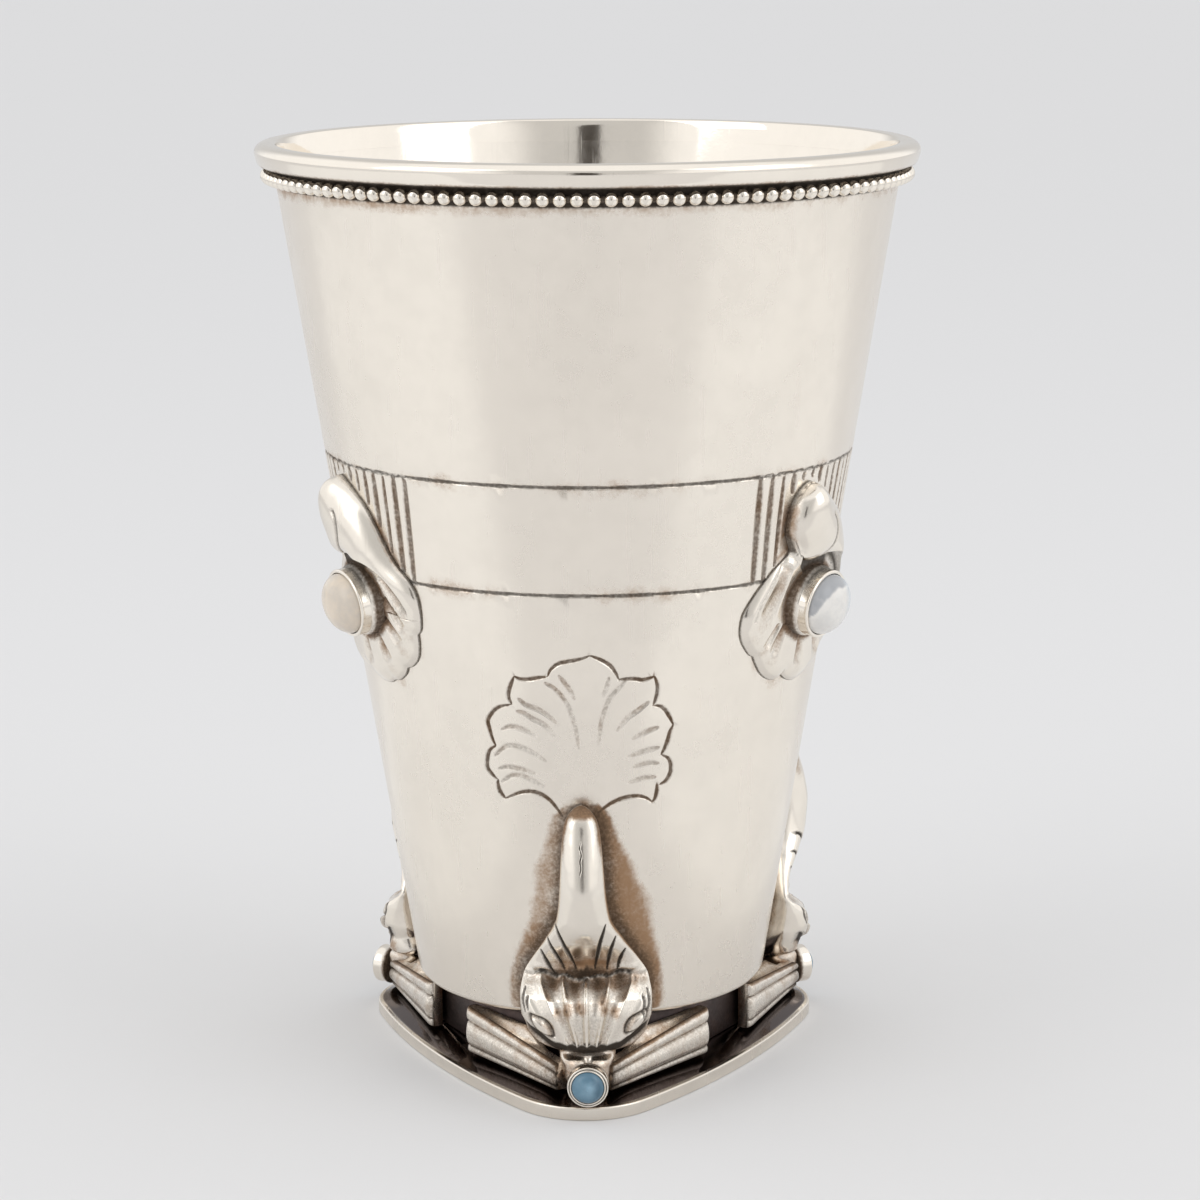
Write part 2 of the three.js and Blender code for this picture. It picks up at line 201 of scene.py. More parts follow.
def to_path(at, path):
    """Distance from each point to a path, and how far along the path that is, as a share."""
    a, run = path[:-1], np.diff(path, axis=0)
    length = np.linalg.norm(run, axis=1)
    before = np.concatenate([[0], np.cumsum(length)])
    gap = at[:, None] - a[None]
    t = np.clip((gap * run).sum(2) / np.maximum(length ** 2, 1e-12), 0, 1)
    distance = np.linalg.norm(gap - t[..., None] * run, axis=2)
    nearest = distance.argmin(1)
    pick = np.arange(len(at)), nearest
    return distance[pick], (before[nearest] + t[pick] * length[nearest]) / before[-1]


class Cut:
    """One engraved cut: its path, half width along it, depth and darkness."""

    def __init__(self, points, width, depth, dark, ends=0.35, fade=(1, 1)):
        self.path = smooth_path(points, 0.35)
        self.half, self.depth, self.dark, self.ends, self.fade = width / 2, depth, dark, ends, fade

    def half_width(self, share):
        swell = np.sqrt(np.clip(np.sin(math.pi * share), 0, 1))
        return self.half * (self.ends + (1 - self.ends) * swell)

    def at(self, points):
        """Depth and darkness at the points."""
        depth, dark = np.zeros(len(points)), np.zeros(len(points))
        margin = 2 * self.half
        near = np.nonzero(((points > self.path.min(0) - margin)
                           & (points < self.path.max(0) + margin)).all(1))[0]
        if len(near):
            distance, share = to_path(points[near], self.path)
            half = self.half_width(share)
            inside = np.clip(1 - (distance / half) ** 2, 0, 1)
            along = self.fade[0] + (self.fade[1] - self.fade[0]) * share
            depth[near] = self.depth * inside * (half / self.half) * along
            dark[near] = self.dark * smoothstep(0, 0.45, inside) * along
        return depth, dark

    def beside(self):
        """Points on and beside the cut, for the mesh to follow it."""
        run = np.gradient(self.path, axis=0)
        run /= np.linalg.norm(run, axis=1)[:, None]
        side = np.stack([-run[:, 1], run[:, 0]], 1)
        share = np.linspace(0, 1, len(self.path))
        half = self.half_width(share)[:, None]
        made = [self.path + side * half * off for off in (-1.25, -0.95, -0.5, 0, 0.5, 0.95, 1.25)]
        for end, way in ((0, -1), (-1, 1)):
            for ahead in (0.5, 0.9, 1.2):
                wide = math.sqrt(max(0.04, 1.44 - ahead ** 2))
                across = np.outer([-wide, 0, wide], side[end])
                made.append(self.path[end] + half[end] * (way * ahead * run[end] + across))
        return np.vstack(made)


def carve(points, cuts):
    """Deepest and darkest of the cuts at the points."""
    depth, dark = np.zeros(len(points)), np.zeros(len(points))
    for cut in cuts:
        d, k = cut.at(points)
        depth, dark = np.maximum(depth, d), np.maximum(dark, k)
    return depth, dark


class StainsAndShade:
    """Darkness and bloom of a surface, the darkness being patina in some places and painted shade in others;
    each touch keeps whichever is stronger.
    """

    def __init__(self, shape):
        self.dark, self.bloom = np.zeros(shape), np.zeros(shape)

    def touch(self, dark=0.0, bloom=0.0):
        self.dark = np.maximum(self.dark, dark)
        self.bloom = np.maximum(self.bloom, bloom)

    def fade(self, share):
        self.dark, self.bloom = self.dark * share, self.bloom * share

    def marks(self, pad):
        """The darkness and bloom as marks of a piece, with the pad's for its further points."""
        return {"dark": np.append(self.dark, pad), "bloom": np.append(self.bloom, pad)}


def wall_radius(z):
    return WALL_FOOT_RADIUS + WALL_SLOPE * (np.asarray(z, float) - CUP_LOW.z)


def backing(z):
    return np.maximum(WALL_FOOT_RADIUS, wall_radius(z)) + SOLDER_GAP


def turn_from(centre, azimuth):
    """Turn from an azimuth in degrees to others in radians, half a turn at most."""
    return (azimuth - math.radians(centre) + math.pi) % (2 * math.pi) - math.pi


def turned_points(points, azimuth):
    """Points turned about the axis by an azimuth in degrees."""
    c, s = np.cos(np.radians(azimuth)), np.sin(np.radians(azimuth))
    x, y, z = points.T
    return np.stack([c * x - s * y, s * x + c * y, z], 1)


def turned_grid(profile, columns):
    """Rows of points turned round the axis, one for each radius and height of a profile."""
    radius, height = np.asarray(profile, float).T[..., None]
    angle = np.arange(columns) * 2 * math.pi / columns
    return np.stack([radius * np.sin(angle), -radius * np.cos(angle), np.repeat(height, columns, 1)], 2)


def tube_faces(rows, columns, looped=False):
    """Quads round a tube of rows of points; a looped tube joins its last row to its first."""
    faces = []
    for k in range(rows if looped else rows - 1):
        m = (k + 1) % rows
        for i in range(columns):
            j = (i + 1) % columns
            faces.append((k * columns + i, k * columns + j, m * columns + j, m * columns + i))
    return faces


def capped_grid(grid):
    """Points and faces of a closed tube given as rows of points, with a cap on each end."""
    rows, columns = grid.shape[:2]
    points = np.vstack([grid.reshape(-1, 3), grid[0].mean(0), grid[-1].mean(0)])
    faces = tube_faces(rows, columns)
    first, last = rows * columns, rows * columns + 1
    for i in range(columns):
        j = (i + 1) % columns
        faces.append((first, j, i))
        faces.append((last, (rows - 1) * columns + i, (rows - 1) * columns + j))
    return points, faces


def revolve(profile, columns):
    """Points and faces of a solid turned about -Y from a profile that starts and ends on the axis."""
    points, faces = capped_grid(turned_grid(profile, columns))
    return np.stack([points[:, 0], -points[:, 2], points[:, 1]], 1), faces


def ring_solid(profile, columns):
    """Points and faces of a ring turned from a closed profile of radius and height."""
    return turned_grid(profile, columns).reshape(-1, 3), tube_faces(len(profile), columns, True)


def rounded(points, radius, steps=5):
    """Open profile with its inner corners rounded."""
    p = [np.asarray(q, float) for q in points]
    made = [p[0]]
    for a, b, c in zip(p, p[1:], p[2:]):
        reach = min(radius, 0.45 * np.linalg.norm(a - b), 0.45 * np.linalg.norm(c - b))
        start = b + (a - b) / np.linalg.norm(a - b) * reach
        end = b + (c - b) / np.linalg.norm(c - b) * reach
        for t in np.linspace(0, 1, steps):
            made.append((1 - t) ** 2 * start + 2 * t * (1 - t) * b + t ** 2 * end)
    return np.array([*made, p[-1]])


def make_piece(name, points, faces, material, nodes, marks=None, normals=None):
    """A smooth mesh object in place, riding on the frame and standing for its CAD nodes."""
    mesh = bpy.data.meshes.new(name)
    mesh.from_pydata((np.asarray(points) * MM).tolist(), [], faces)
    mesh.validate()
    mesh.shade_smooth()
    for mark, values in (marks or {}).items():
        layer = mesh.attributes.new(mark, "FLOAT", "POINT")
        layer.data.foreach_set("value", np.asarray(values, np.float32))
    if normals is not None:
        mesh.normals_split_custom_set_from_vertices(np.asarray(normals).tolist())
    mesh.materials.append(material)
    piece = bpy.data.objects.new(name, mesh)
    bpy.context.scene.collection.objects.link(piece)
    return seat(piece, nodes)


def seat(piece, nodes):
    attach(piece, "root")
    if nodes:
        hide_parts(*nodes)
    return piece


# Finishes

BUMP_DISTANCE = 0.1 * MM


def node_group(name, inputs, outputs):
    """A new shader node group with the named sockets, and its input and output nodes."""
    group = bpy.data.node_groups.new(name, "ShaderNodeTree")
    for label, kind, value in inputs:
        socket = group.interface.new_socket(label, in_out="INPUT", socket_type=kind)
        if value is not None:
            socket.default_value = value
    for label, kind in outputs:
        group.interface.new_socket(label, in_out="OUTPUT", socket_type=kind)
    return group, group.nodes.new("NodeGroupInput"), group.nodes.new("NodeGroupOutput")


def joined(tree, kind, links, **settings):
    """A new node with its inputs set or linked by name or place."""
    node = tree.nodes.new(kind)
    for key, value in settings.items():
        setattr(node, key, value)
    for place, value in links.items():
        if isinstance(value, bpy.types.NodeSocket):
            tree.links.new(value, node.inputs[place])
        else:
            node.inputs[place].default_value = value
    return node


def math_node(tree, operation, a, b=0.0, clamp=False):
    return joined(tree, "ShaderNodeMath", {0: a, 1: b}, operation=operation, use_clamp=clamp).outputs[0]


def scaled(tree, value, factor):
    return math_node(tree, "MULTIPLY", value, factor)


def added(tree, *values):
    total = values[0]
    for value in values[1:]:
        total = math_node(tree, "ADD", total, value)
    return total


def less(tree, whole, part):
    return math_node(tree, "SUBTRACT", whole, part)


def ramp(tree, value, low, high, out_low=0.0, out_high=1.0):
    """The value eased from one range to another."""
    node = joined(tree, "ShaderNodeMapRange", {0: value, 1: low, 2: high, 3: out_low, 4: out_high},
                  interpolation_type="SMOOTHSTEP")
    return node.outputs[0]


def mix_colour(tree, share, a, b, blend="MIX"):
    node = tree.nodes.new("ShaderNodeMix")
    node.data_type, node.blend_type = "RGBA", blend
    for place, value in ((0, share), (6, a), (7, b)):
        if isinstance(value, bpy.types.NodeSocket):
            tree.links.new(value, node.inputs[place])
        elif place == 0:
            node.inputs[0].default_value = value
        else:
            node.inputs[place].default_value = (*value[:3], 1)
    return node.outputs[2]


def noise(tree, vector, scale, detail=3.0, roughness=0.55):
    return joined(tree, "ShaderNodeTexNoise", {
        "Vector": vector, "Scale": scale, "Detail": detail, "Roughness": roughness}).outputs["Fac"]


def wear_group():
    """Cloudy handling marks, fine scratches and small pits of old polished silver."""
    group, given, made = node_group("Silver Wear", [
        ("Vector", "NodeSocketVector", None), ("Cloud", "NodeSocketFloat", 1.0),
        ("Scratch", "NodeSocketFloat", 1.0)],
        [("Tint", "NodeSocketFloat"), ("Roughness", "NodeSocketFloat"), ("Height", "NodeSocketFloat")])
    vector = given.outputs["Vector"]
    broad = ramp(group, noise(group, vector, 34.0, 4.0), 0.36, 0.68)
    fine = ramp(group, noise(group, vector, 260.0, 4.0, 0.65), 0.34, 0.7)
    cloud = added(group, scaled(group, broad, 0.62), scaled(group, fine, 0.38))
    shade = scaled(group, cloud, given.outputs["Cloud"])
    scratches = 0.0
    for turn, scale in ((0.35, 900.0), (-0.9, 1300.0)):
        mapped = joined(group, "ShaderNodeMapping", {
            "Vector": vector, "Rotation": (0.4 * turn, turn, 0.8 * turn), "Scale": (1.0, 0.05, 0.05)})
        lines = noise(group, mapped.outputs[0], scale, 1.0)
        scratches = added(group, scratches, ramp(group, lines, 0.66, 0.74))
    scratch = scaled(group, scratches, given.outputs["Scratch"])
    for name, value in (("Tint", less(group, 1.0, scaled(group, shade, 0.075))),
                        ("Roughness", added(group, scaled(group, shade, 0.10), scaled(group, scratch, 0.06))),
                        ("Height", added(group, scaled(group, fine, 0.4), scaled(group, scratch, -0.25)))):
        group.links.new(value, made.inputs[name])


def tarnish_group():
    """Ragged brown bloom, and darkness from the painted marks of a piece: patina in the cuts, painted shade
    and reflection elsewhere.
    """
    group, given, made = node_group("Tarnish", [
        ("Vector", "NodeSocketVector", None), ("Bloom", "NodeSocketFloat", 0.0),
        ("Dark", "NodeSocketFloat", 0.0), ("Scale", "NodeSocketFloat", 420.0)],
        [("Bloom", "NodeSocketFloat"), ("Dark", "NodeSocketFloat")])
    vector, bloom, dark, scale = given.outputs[:4]
    coarse = noise(group, vector, scaled(group, scale, 0.5), 5.0, 0.62)
    grain = noise(group, vector, scaled(group, scale, 4.0), 3.0, 0.7)
    ragged = added(group, scaled(group, coarse, 1.25), scaled(group, grain, 0.35))
    spread = ramp(group, added(group, bloom, less(group, ragged, 0.78)), 0.10, 1.0)
    group.links.new(scaled(group, spread, ramp(group, bloom, 0.0, 0.25)), made.inputs["Bloom"])
    broken = scaled(group, less(group, 1.0, dark), ramp(group, grain, 0.36, 0.6, 1.0, 0.0))
    group.links.new(scaled(group, dark, less(group, 1.0, broken)), made.inputs["Dark"])


def new_material(name):
    material = bpy.data.materials.new(name)
    material.use_nodes = True
    tree = material.node_tree
    shader = tree.nodes["Principled BSDF"]
    place = tree.nodes.new("ShaderNodeTexCoord").outputs["Object"]
    return material, tree, shader, place


def mark(tree, name):
    return joined(tree, "ShaderNodeAttribute", {}, attribute_name=name).outputs["Fac"]


def worn_surface(tree, shader, place, cloud, scratch, bump):
    """Wear of old silver: links its bump to the shader and gives its node and its tint as a colour."""
    wear = joined(tree, "ShaderNodeGroup", {"Vector": place, "Cloud": cloud, "Scratch": scratch},
                  node_tree=bpy.data.node_groups["Silver Wear"])
    shade = wear.outputs["Tint"]
    tint = joined(tree, "ShaderNodeCombineColor", {0: shade, 1: shade, 2: shade}).outputs[0]
    bumped(tree, shader, bump, wear.outputs["Height"])
    return wear, tint


def bumped(tree, shader, strength, height):
    lift = joined(tree, "ShaderNodeBump", {
        "Strength": strength, "Distance": BUMP_DISTANCE, "Height": height})
    tree.links.new(lift.outputs[0], shader.inputs["Normal"])


def silver_material(name, roughness, cloud, scratch, bump, scale=420.0, gain=1.0):
    """Polished silver with wear everywhere, brown bloom, and darkness where the piece is marked: patina in
    the cuts, painted shade and reflection elsewhere.
    """
    colours = bpy.context.scene.beaker_finish
    material, tree, shader, place = new_material(name)
    wear, tint = worn_surface(tree, shader, place, cloud, scratch, bump)
    stain = joined(tree, "ShaderNodeGroup", {
        "Vector": place, "Bloom": mark(tree, "bloom"), "Dark": mark(tree, "dark"), "Scale": scale},
        node_tree=bpy.data.node_groups["Tarnish"])
    bloom, dark = stain.outputs
    clean = mix_colour(tree, 1.0, [c * gain for c in colours.silver], tint, "MULTIPLY")
    bloomed = mix_colour(tree, bloom, clean, colours.tarnish)
    tree.links.new(mix_colour(tree, dark, bloomed, colours.patina_and_shade), shader.inputs["Base Color"])
    rough = added(tree, wear.outputs["Roughness"], roughness)
    rough = less(tree, rough, scaled(tree, mark(tree, "polish"), 0.15))
    rough = added(tree, rough, scaled(tree, bloom, 0.22))
    tree.links.new(math_node(tree, "ADD", rough, scaled(tree, dark, 0.30), True), shader.inputs["Roughness"])
    tree.links.new(less(tree, 1.0, scaled(tree, dark, 0.7)), shader.inputs["Metallic"])
    tree.links.new(ramp(tree, dark, 0.2, 1.0, 0.5, 0.08), shader.inputs["Specular IOR Level"])
    return material


def plate_material():
    """Bright silver edge and a blackened, mirror-like top."""
    colours = bpy.context.scene.beaker_finish
    material, tree, shader, place = new_material("plate_silver_finish")
    wear, tint = worn_surface(tree, shader, place, 1.3, 1.6, 0.12)
    top = mark(tree, "dark")
    edge = mix_colour(tree, 1.0, [0.92 * c for c in colours.silver], tint, "MULTIPLY")
    tree.links.new(mix_colour(tree, top, edge, [1.7 * c for c in colours.oxide]), shader.inputs["Base Color"])
    rough = added(tree, wear.outputs["Roughness"], ramp(tree, top, 0.0, 1.0, 0.16, 0.03))
    tree.links.new(rough, shader.inputs["Roughness"])
    shader.inputs["Metallic"].default_value = 1.0
    return material


def oxide_material():
    """Blackened satin silver of the foot block."""
    oxide = bpy.context.scene.beaker_finish.oxide
    material, tree, shader, place = new_material("oxidised_silver_finish")
    cloud = noise(tree, place, 90.0, 5.0, 0.6)
    grain = noise(tree, place, 1500.0, 2.0, 0.6)
    warm = [share * c for share, c in zip((1.9, 1.65, 1.5), oxide)]
    tree.links.new(mix_colour(tree, ramp(tree, cloud, 0.4, 0.7), oxide, warm), shader.inputs["Base Color"])
    tree.links.new(ramp(tree, grain, 0.3, 0.7, 0.36, 0.52), shader.inputs["Roughness"])
    shader.inputs["Metallic"].default_value = 0.85
    bumped(tree, shader, 0.2, grain)
    return material


def moonstone_material(name, milk_and_highlight, deep, sheen):
    """Cloudy stone, milky and with painted highlight and sheen, and warm with a painted reflection of the
    silver, where its marks say.
    """
    material, tree, shader, place = new_material(name)
    cloud = ramp(tree, noise(tree, place, 260.0, 4.0, 0.55), 0.35, 0.68, -0.12, 0.12)
    veil = ramp(tree, noise(tree, place, 900.0, 3.0, 0.6), 0.4, 0.7, -0.05, 0.05)
    share = math_node(tree, "ADD", mark(tree, "milk_and_highlight"), added(tree, cloud, veil), True)
    reflected_silver_colour = bpy.context.scene.beaker_finish.reflected_silver
    body, warm = (mix_colour(tree, share, deep, colour) for colour in (milk_and_highlight, reflected_silver_colour))
    # the bloom mark on a stone paints the warm reflection of the silver
    body = mix_colour(tree, mark(tree, "bloom"), body, warm)
    tree.links.new(mix_colour(tree, mark(tree, "sheen"), body, sheen), shader.inputs["Base Color"])
    for socket, value in (("Roughness", 0.03), ("IOR", 1.53), ("Subsurface Weight", 0.15),
                          ("Subsurface Radius", (0.0008, 0.0009, 0.0010)), ("Subsurface Scale", 0.5)):
        shader.inputs[socket].default_value = value
    return material


def finish(name):
    """One of the beaker's materials, made when it is first asked for."""
    if "Silver Wear" not in bpy.data.node_groups:
        wear_group()
        tarnish_group()
    known = bpy.data.materials.get(name + "_finish")
    if known:
        return known
    colours = bpy.context.scene.beaker_finish
    makers = {
        "cup_silver": lambda: silver_material("cup_silver_finish", 0.20, 1.0, 1.0, 0.10),
        "bright_silver": lambda: silver_material("bright_silver_finish", 0.09, 0.7, 1.0, 0.08),
        "worn_silver": lambda: silver_material("worn_silver_finish", 0.13, 1.2, 1.0, 0.18, 700.0, 0.97),
        "plate_silver": plate_material,
        "oxidised_silver": oxide_material,
        # the oval stones' grey colour paints the room's reflection and the blue one the sheen on the right
        # stone
        "oval_moonstone": lambda: moonstone_material(
            "oval_moonstone_finish", colours.oval_stone, (0.40, 0.41, 0.43), (0.55, 0.63, 0.69)),
        "round_moonstone": lambda: moonstone_material(
            "round_moonstone_finish", colours.round_stone, (0.06, 0.13, 0.19), (0.11, 0.23, 0.32)),
    }
    return makers[name]()


# Cup: wall with its engraving

PALMETTE_CUTS = [
    [(-3.4, 50.6), (-5.3, 53.2), (-7.0, 54.5), (-8.7, 54.9), (-10.7, 54.6), (-13.4, 53.3)],
    [(-13.4, 53.3), (-14.4, 54.6), (-14.7, 55.9), (-14.6, 56.6)],
    [(-14.7, 56.5), (-15.7, 57.4), (-16.6, 58.6), (-16.5, 60.4), (-16.0, 61.8), (-14.9, 62.6)],
    [(-14.9, 62.6), (-15.5, 63.8), (-16.0, 65.5), (-16.3, 66.9), (-15.7, 68.1), (-14.3, 69.5), (-12.0, 70.2)],
    [(-11.8, 70.2), (-12.4, 71.3), (-12.3, 72.8), (-11.4, 75.2)],
    [(-11.4, 75.2), (-10.3, 74.8), (-8.9, 74.8), (-7.5, 75.1), (-5.8, 75.4)],
    [(-5.7, 75.4), (-5.2, 76.6), (-3.9, 77.7), (-2.3, 78.1), (-0.1, 78.6), (1.3, 79.2)],
    [(1.3, 79.2), (3.1, 78.4), (4.7, 77.3), (5.6, 75.9), (6.0, 74.9)],
    [(6.0, 74.9), (7.1, 75.0), (8.8, 74.9), (10.1, 74.7), (12.0, 75.2)],
    [(12.0, 75.2), (12.4, 74.0), (12.5, 72.6), (12.1, 71.0), (11.7, 70.1)],
    [(11.8, 70.1), (13.1, 69.8), (14.2, 68.6), (15.3, 66.4)],
    [(15.3, 66.4), (14.7, 65.2), (14.3, 63.7), (13.7, 62.3), (13.1, 61.3)],
    [(13.2, 61.2), (14.3, 60.6), (14.8, 59.5), (14.8, 58.0), (14.0, 56.6), (12.8, 55.9)],
    [(12.4, 56.3), (12.4, 55.0), (12.1, 53.7), (11.6, 52.9)],
    [(11.6, 52.9), (10.4, 53.8), (8.7, 54.2), (6.5, 53.9), (4.5, 53.0), (2.3, 51.4)],
]
PALMETTE_RIBS = [
    [(-6.1, 74.3), (-4.8, 73.6), (-3.4, 72.1), (-2.4, 70.4), (-1.6, 68.1), (-1.1, 66.1), (-0.7, 63.0)],
    [(-3.8, 75.6), (-2.1, 73.3), (-1.3, 71.6)],
    [(4.4, 75.3), (4.0, 73.8), (3.4, 72.1)],
    [(7.0, 74.5), (5.2, 72.6), (4.4, 71.5), (3.6, 69.5), (3.0, 67.2), (2.6, 63.6)],
    [(11.0, 70.8), (9.0, 69.3), (7.4, 68.2), (5.7, 66.0)],
    [(12.7, 62.6), (10.1, 62.1), (7.6, 61.3)],
    [(-10.7, 71.3), (-9.3, 70.3), (-7.3, 69.6), (-5.7, 68.6), (-4.2, 67.2)],
    [(-11.0, 69.1), (-9.6, 68.8), (-8.2, 67.9), (-6.5, 67.1), (-4.6, 65.1)],
    [(-13.7, 65.7), (-11.9, 66.3), (-9.9, 65.9), (-8.0, 65.0)],
    [(-15.0, 60.9), (-13.3, 62.5), (-11.7, 62.9), (-9.7, 62.5), (-8.0, 61.7), (-6.2, 60.5)],
    [(-14.4, 58.6), (-12.6, 59.0), (-10.3, 58.8), (-8.0, 58.2)],
    [(-13.9, 56.3), (-12.1, 57.5), (-10.1, 57.6), (-8.1, 56.7), (-6.6, 55.9)],
    [(12.1, 57.4), (9.8, 57.3), (7.6, 56.6)],
    [(12.6, 66.2), (10.6, 65.6), (8.2, 64.4)],
    [(12.6, 59.8), (10.6, 59.9), (8.4, 59.4)],
]
FLAT_RADIUS = 44.0
TARNISH_HEIGHTS = (18, 23, 28, 35, 41, 47.5, 54)
TARNISH_SPREADS = ((2.5, 2.2, 3.2, 4.9, 4.6, 3.0, 1.8), (2.5, 2.4, 4.3, 7.0, 4.9, 2.1, 1.5))
LIP_CHANNEL = 3.3


def palmette_cuts(settings):
    width, depth = settings.palmette_width / MM, settings.palmette_depth / MM
    cuts = [Cut(points, width, depth, 0.74, 0.22) for points in PALMETTE_CUTS]
    for points in PALMETTE_RIBS:
        cuts.append(Cut(points, settings.rib_width / MM, settings.rib_depth / MM, 0.42, 0.5, (1.0, 0.45)))
    return cuts


def stroke_cuts(settings):
    """The fan of strokes over a shell, each running down to the lower line or the shell's edge."""
    outline = shell_outline()
    top, bottom = settings.upper_line / MM, settings.lower_line / MM
    cuts = []
    for k in range(settings.stroke_count):
        turn = (k - (settings.stroke_count - 1) / 2) * settings.stroke_pitch
        across = turn * wall_radius(top)
        beside = outline[np.abs(outline[:, 0] - across) < 1.0]
        covered = SHELL_CENTRE + beside[:, 1].max() + 0.8 if len(beside) else 0.0
        end = max(bottom + 0.55, covered)
        high = top - 0.75
        lean = 1 - 0.055 * (high - end) / (top - bottom)
        low_across = turn * lean * wall_radius(end)
        middle = (0.5 * (across + low_across), 0.5 * (high + end))
        width = settings.stroke_width / MM * (0.82 + 0.18 * math.sin(2.3 * k + 0.6))
        path = [(across, high), middle, (low_across, end)]
        cuts.append(Cut(path, width, settings.stroke_depth / MM, 0.66, 0.75))
    return cuts


def wall_marks(azimuth, z, settings, cuts):
    """Depth of the wall's engraving, and the stains and painted shade in and beside it, at places on the
    wall.
    """
    depth, stains_and_shade = np.zeros(len(z)), StainsAndShade(len(z))
    half = settings.line_width / MM / 2
    for height in (settings.upper_line / MM, settings.lower_line / MM):
        uneven = 0.84 + 0.16 * np.sin(17 * azimuth) * np.sin(41 * azimuth + height)
        inside = np.clip(1 - ((z - height) / (half * uneven)) ** 2, 0, 1)
        depth = np.maximum(depth, settings.line_depth / MM * inside)
        stains_and_shade.touch(0.84 * smoothstep(0, 0.6, inside),
                     (0.30 + 0.12 * np.sin(9 * azimuth)) * bell(z - height, 0.9))
    for centres, group in cuts:
        for centre in centres:
            across = turn_from(centre, azimuth) * wall_radius(z)
            d, k = carve(np.stack([across, z], 1), group)
            depth = np.maximum(depth, d)
            stains_and_shade.touch(k, 0.9 * k)
    for place, centre in DOLPHINS.items():
        strong = 1.0 if place == "front" else 0.4
        dolphin_tarnish_and_shade(stains_and_shade, turn_from(centre, azimuth) * wall_radius(z), z, strong)
    for centre in SHELLS.values():
        shell_tarnish(stains_and_shade, np.stack([turn_from(centre, azimuth) * wall_radius(z), z - SHELL_CENTRE], 1))
    # painted shade: the wall in the channel under the lip, behind the beads, is darkened; under the channel,
    # brown bloom
    edge = LIP_LOW.z - LIP_CHANNEL
    below_lip = bell(np.clip(edge - z, 0, None), 1.1) * smoothstep(LIP_LOW.z - 9, LIP_LOW.z - 4, z)
    stains_and_shade.touch(0.97 * smoothstep(edge, edge + 0.5, z), (0.42 - 0.16 * np.sin(azimuth)) * below_lip)
    return depth, stains_and_shade


def dolphin_tarnish_and_shade(stains_and_shade, across, z, strong):
    """Brown bloom on the wall along both sides of a dolphin, with a dark band next to it that is the
    dolphin's painted shadow and reflection.
    """
    beside = np.abs(across) - hermite(DOLPHIN_Z, DOLPHIN_HALF, np.clip(z, DOLPHIN_Z[0], DOLPHIN_Z[-1]))
    reach = np.hypot(np.clip(beside, 0, None), np.clip(z - DOLPHIN_Z[-1] + 1.0, 0, None))
    right = smoothstep(-1.0, 1.0, across)
    left_spread, right_spread = (np.interp(z, TARNISH_HEIGHTS, spread) for spread in TARNISH_SPREADS)
    spread = (1 - right) * left_spread + right * right_spread
    # painted shadow and reflection of the dolphin: the dark band next to it; the brown bloom beyond is
    # tarnish
    stains_and_shade.touch(strong * 0.74 * bell(reach, 1.5),
                 strong * (0.68 + 0.2 * right) * smoothstep(1.25, 0.7, reach / spread))


def shell_tarnish(stains_and_shade, at):
    """Bloom on the wall round a shell, strongest beside its knob."""
    near = np.nonzero((np.abs(at[:, 0]) < 22) & (np.abs(at[:, 1]) < 27))[0]
    if not len(near):
        return
    outline = shell_outline()
    reach, _ = to_path(at[near], np.vstack([outline, outline[:1]]))
    u, v = at[near].T
    left = smoothstep(-2.0, -6.0, u) * smoothstep(6.0, 9.0, v) * smoothstep(18, 15, v)
    right = smoothstep(1.0, 4.0, u) * smoothstep(5.0, 8.0, v) * smoothstep(17, 14, v)
    bloom = np.maximum(0.3 * bell(reach, 0.7), 0.85 * np.maximum(left, right) * bell(reach, 1.5))
    stains_and_shade.bloom[near] = np.maximum(stains_and_shade.bloom[near], bloom)


def wall_normals(azimuth, z, settings, cuts):
    step = 0.06
    radius = wall_radius(z)
    by_height = (wall_marks(azimuth, z + step, settings, cuts)[0]
                 - wall_marks(azimuth, z - step, settings, cuts)[0]) / (2 * step)
    by_arc = (wall_marks(azimuth + step / radius, z, settings, cuts)[0]
              - wall_marks(azimuth - step / radius, z, settings, cuts)[0]) / (2 * step)
    out = np.stack([np.sin(azimuth), -np.cos(azimuth), np.zeros_like(z)], 1)
    along = np.stack([np.cos(azimuth), np.sin(azimuth), np.zeros_like(z)], 1)
    normal = out + by_arc[:, None] * along
    normal[:, 2] = -(WALL_SLOPE - by_height)
    return normal / np.linalg.norm(normal, axis=1)[:, None]


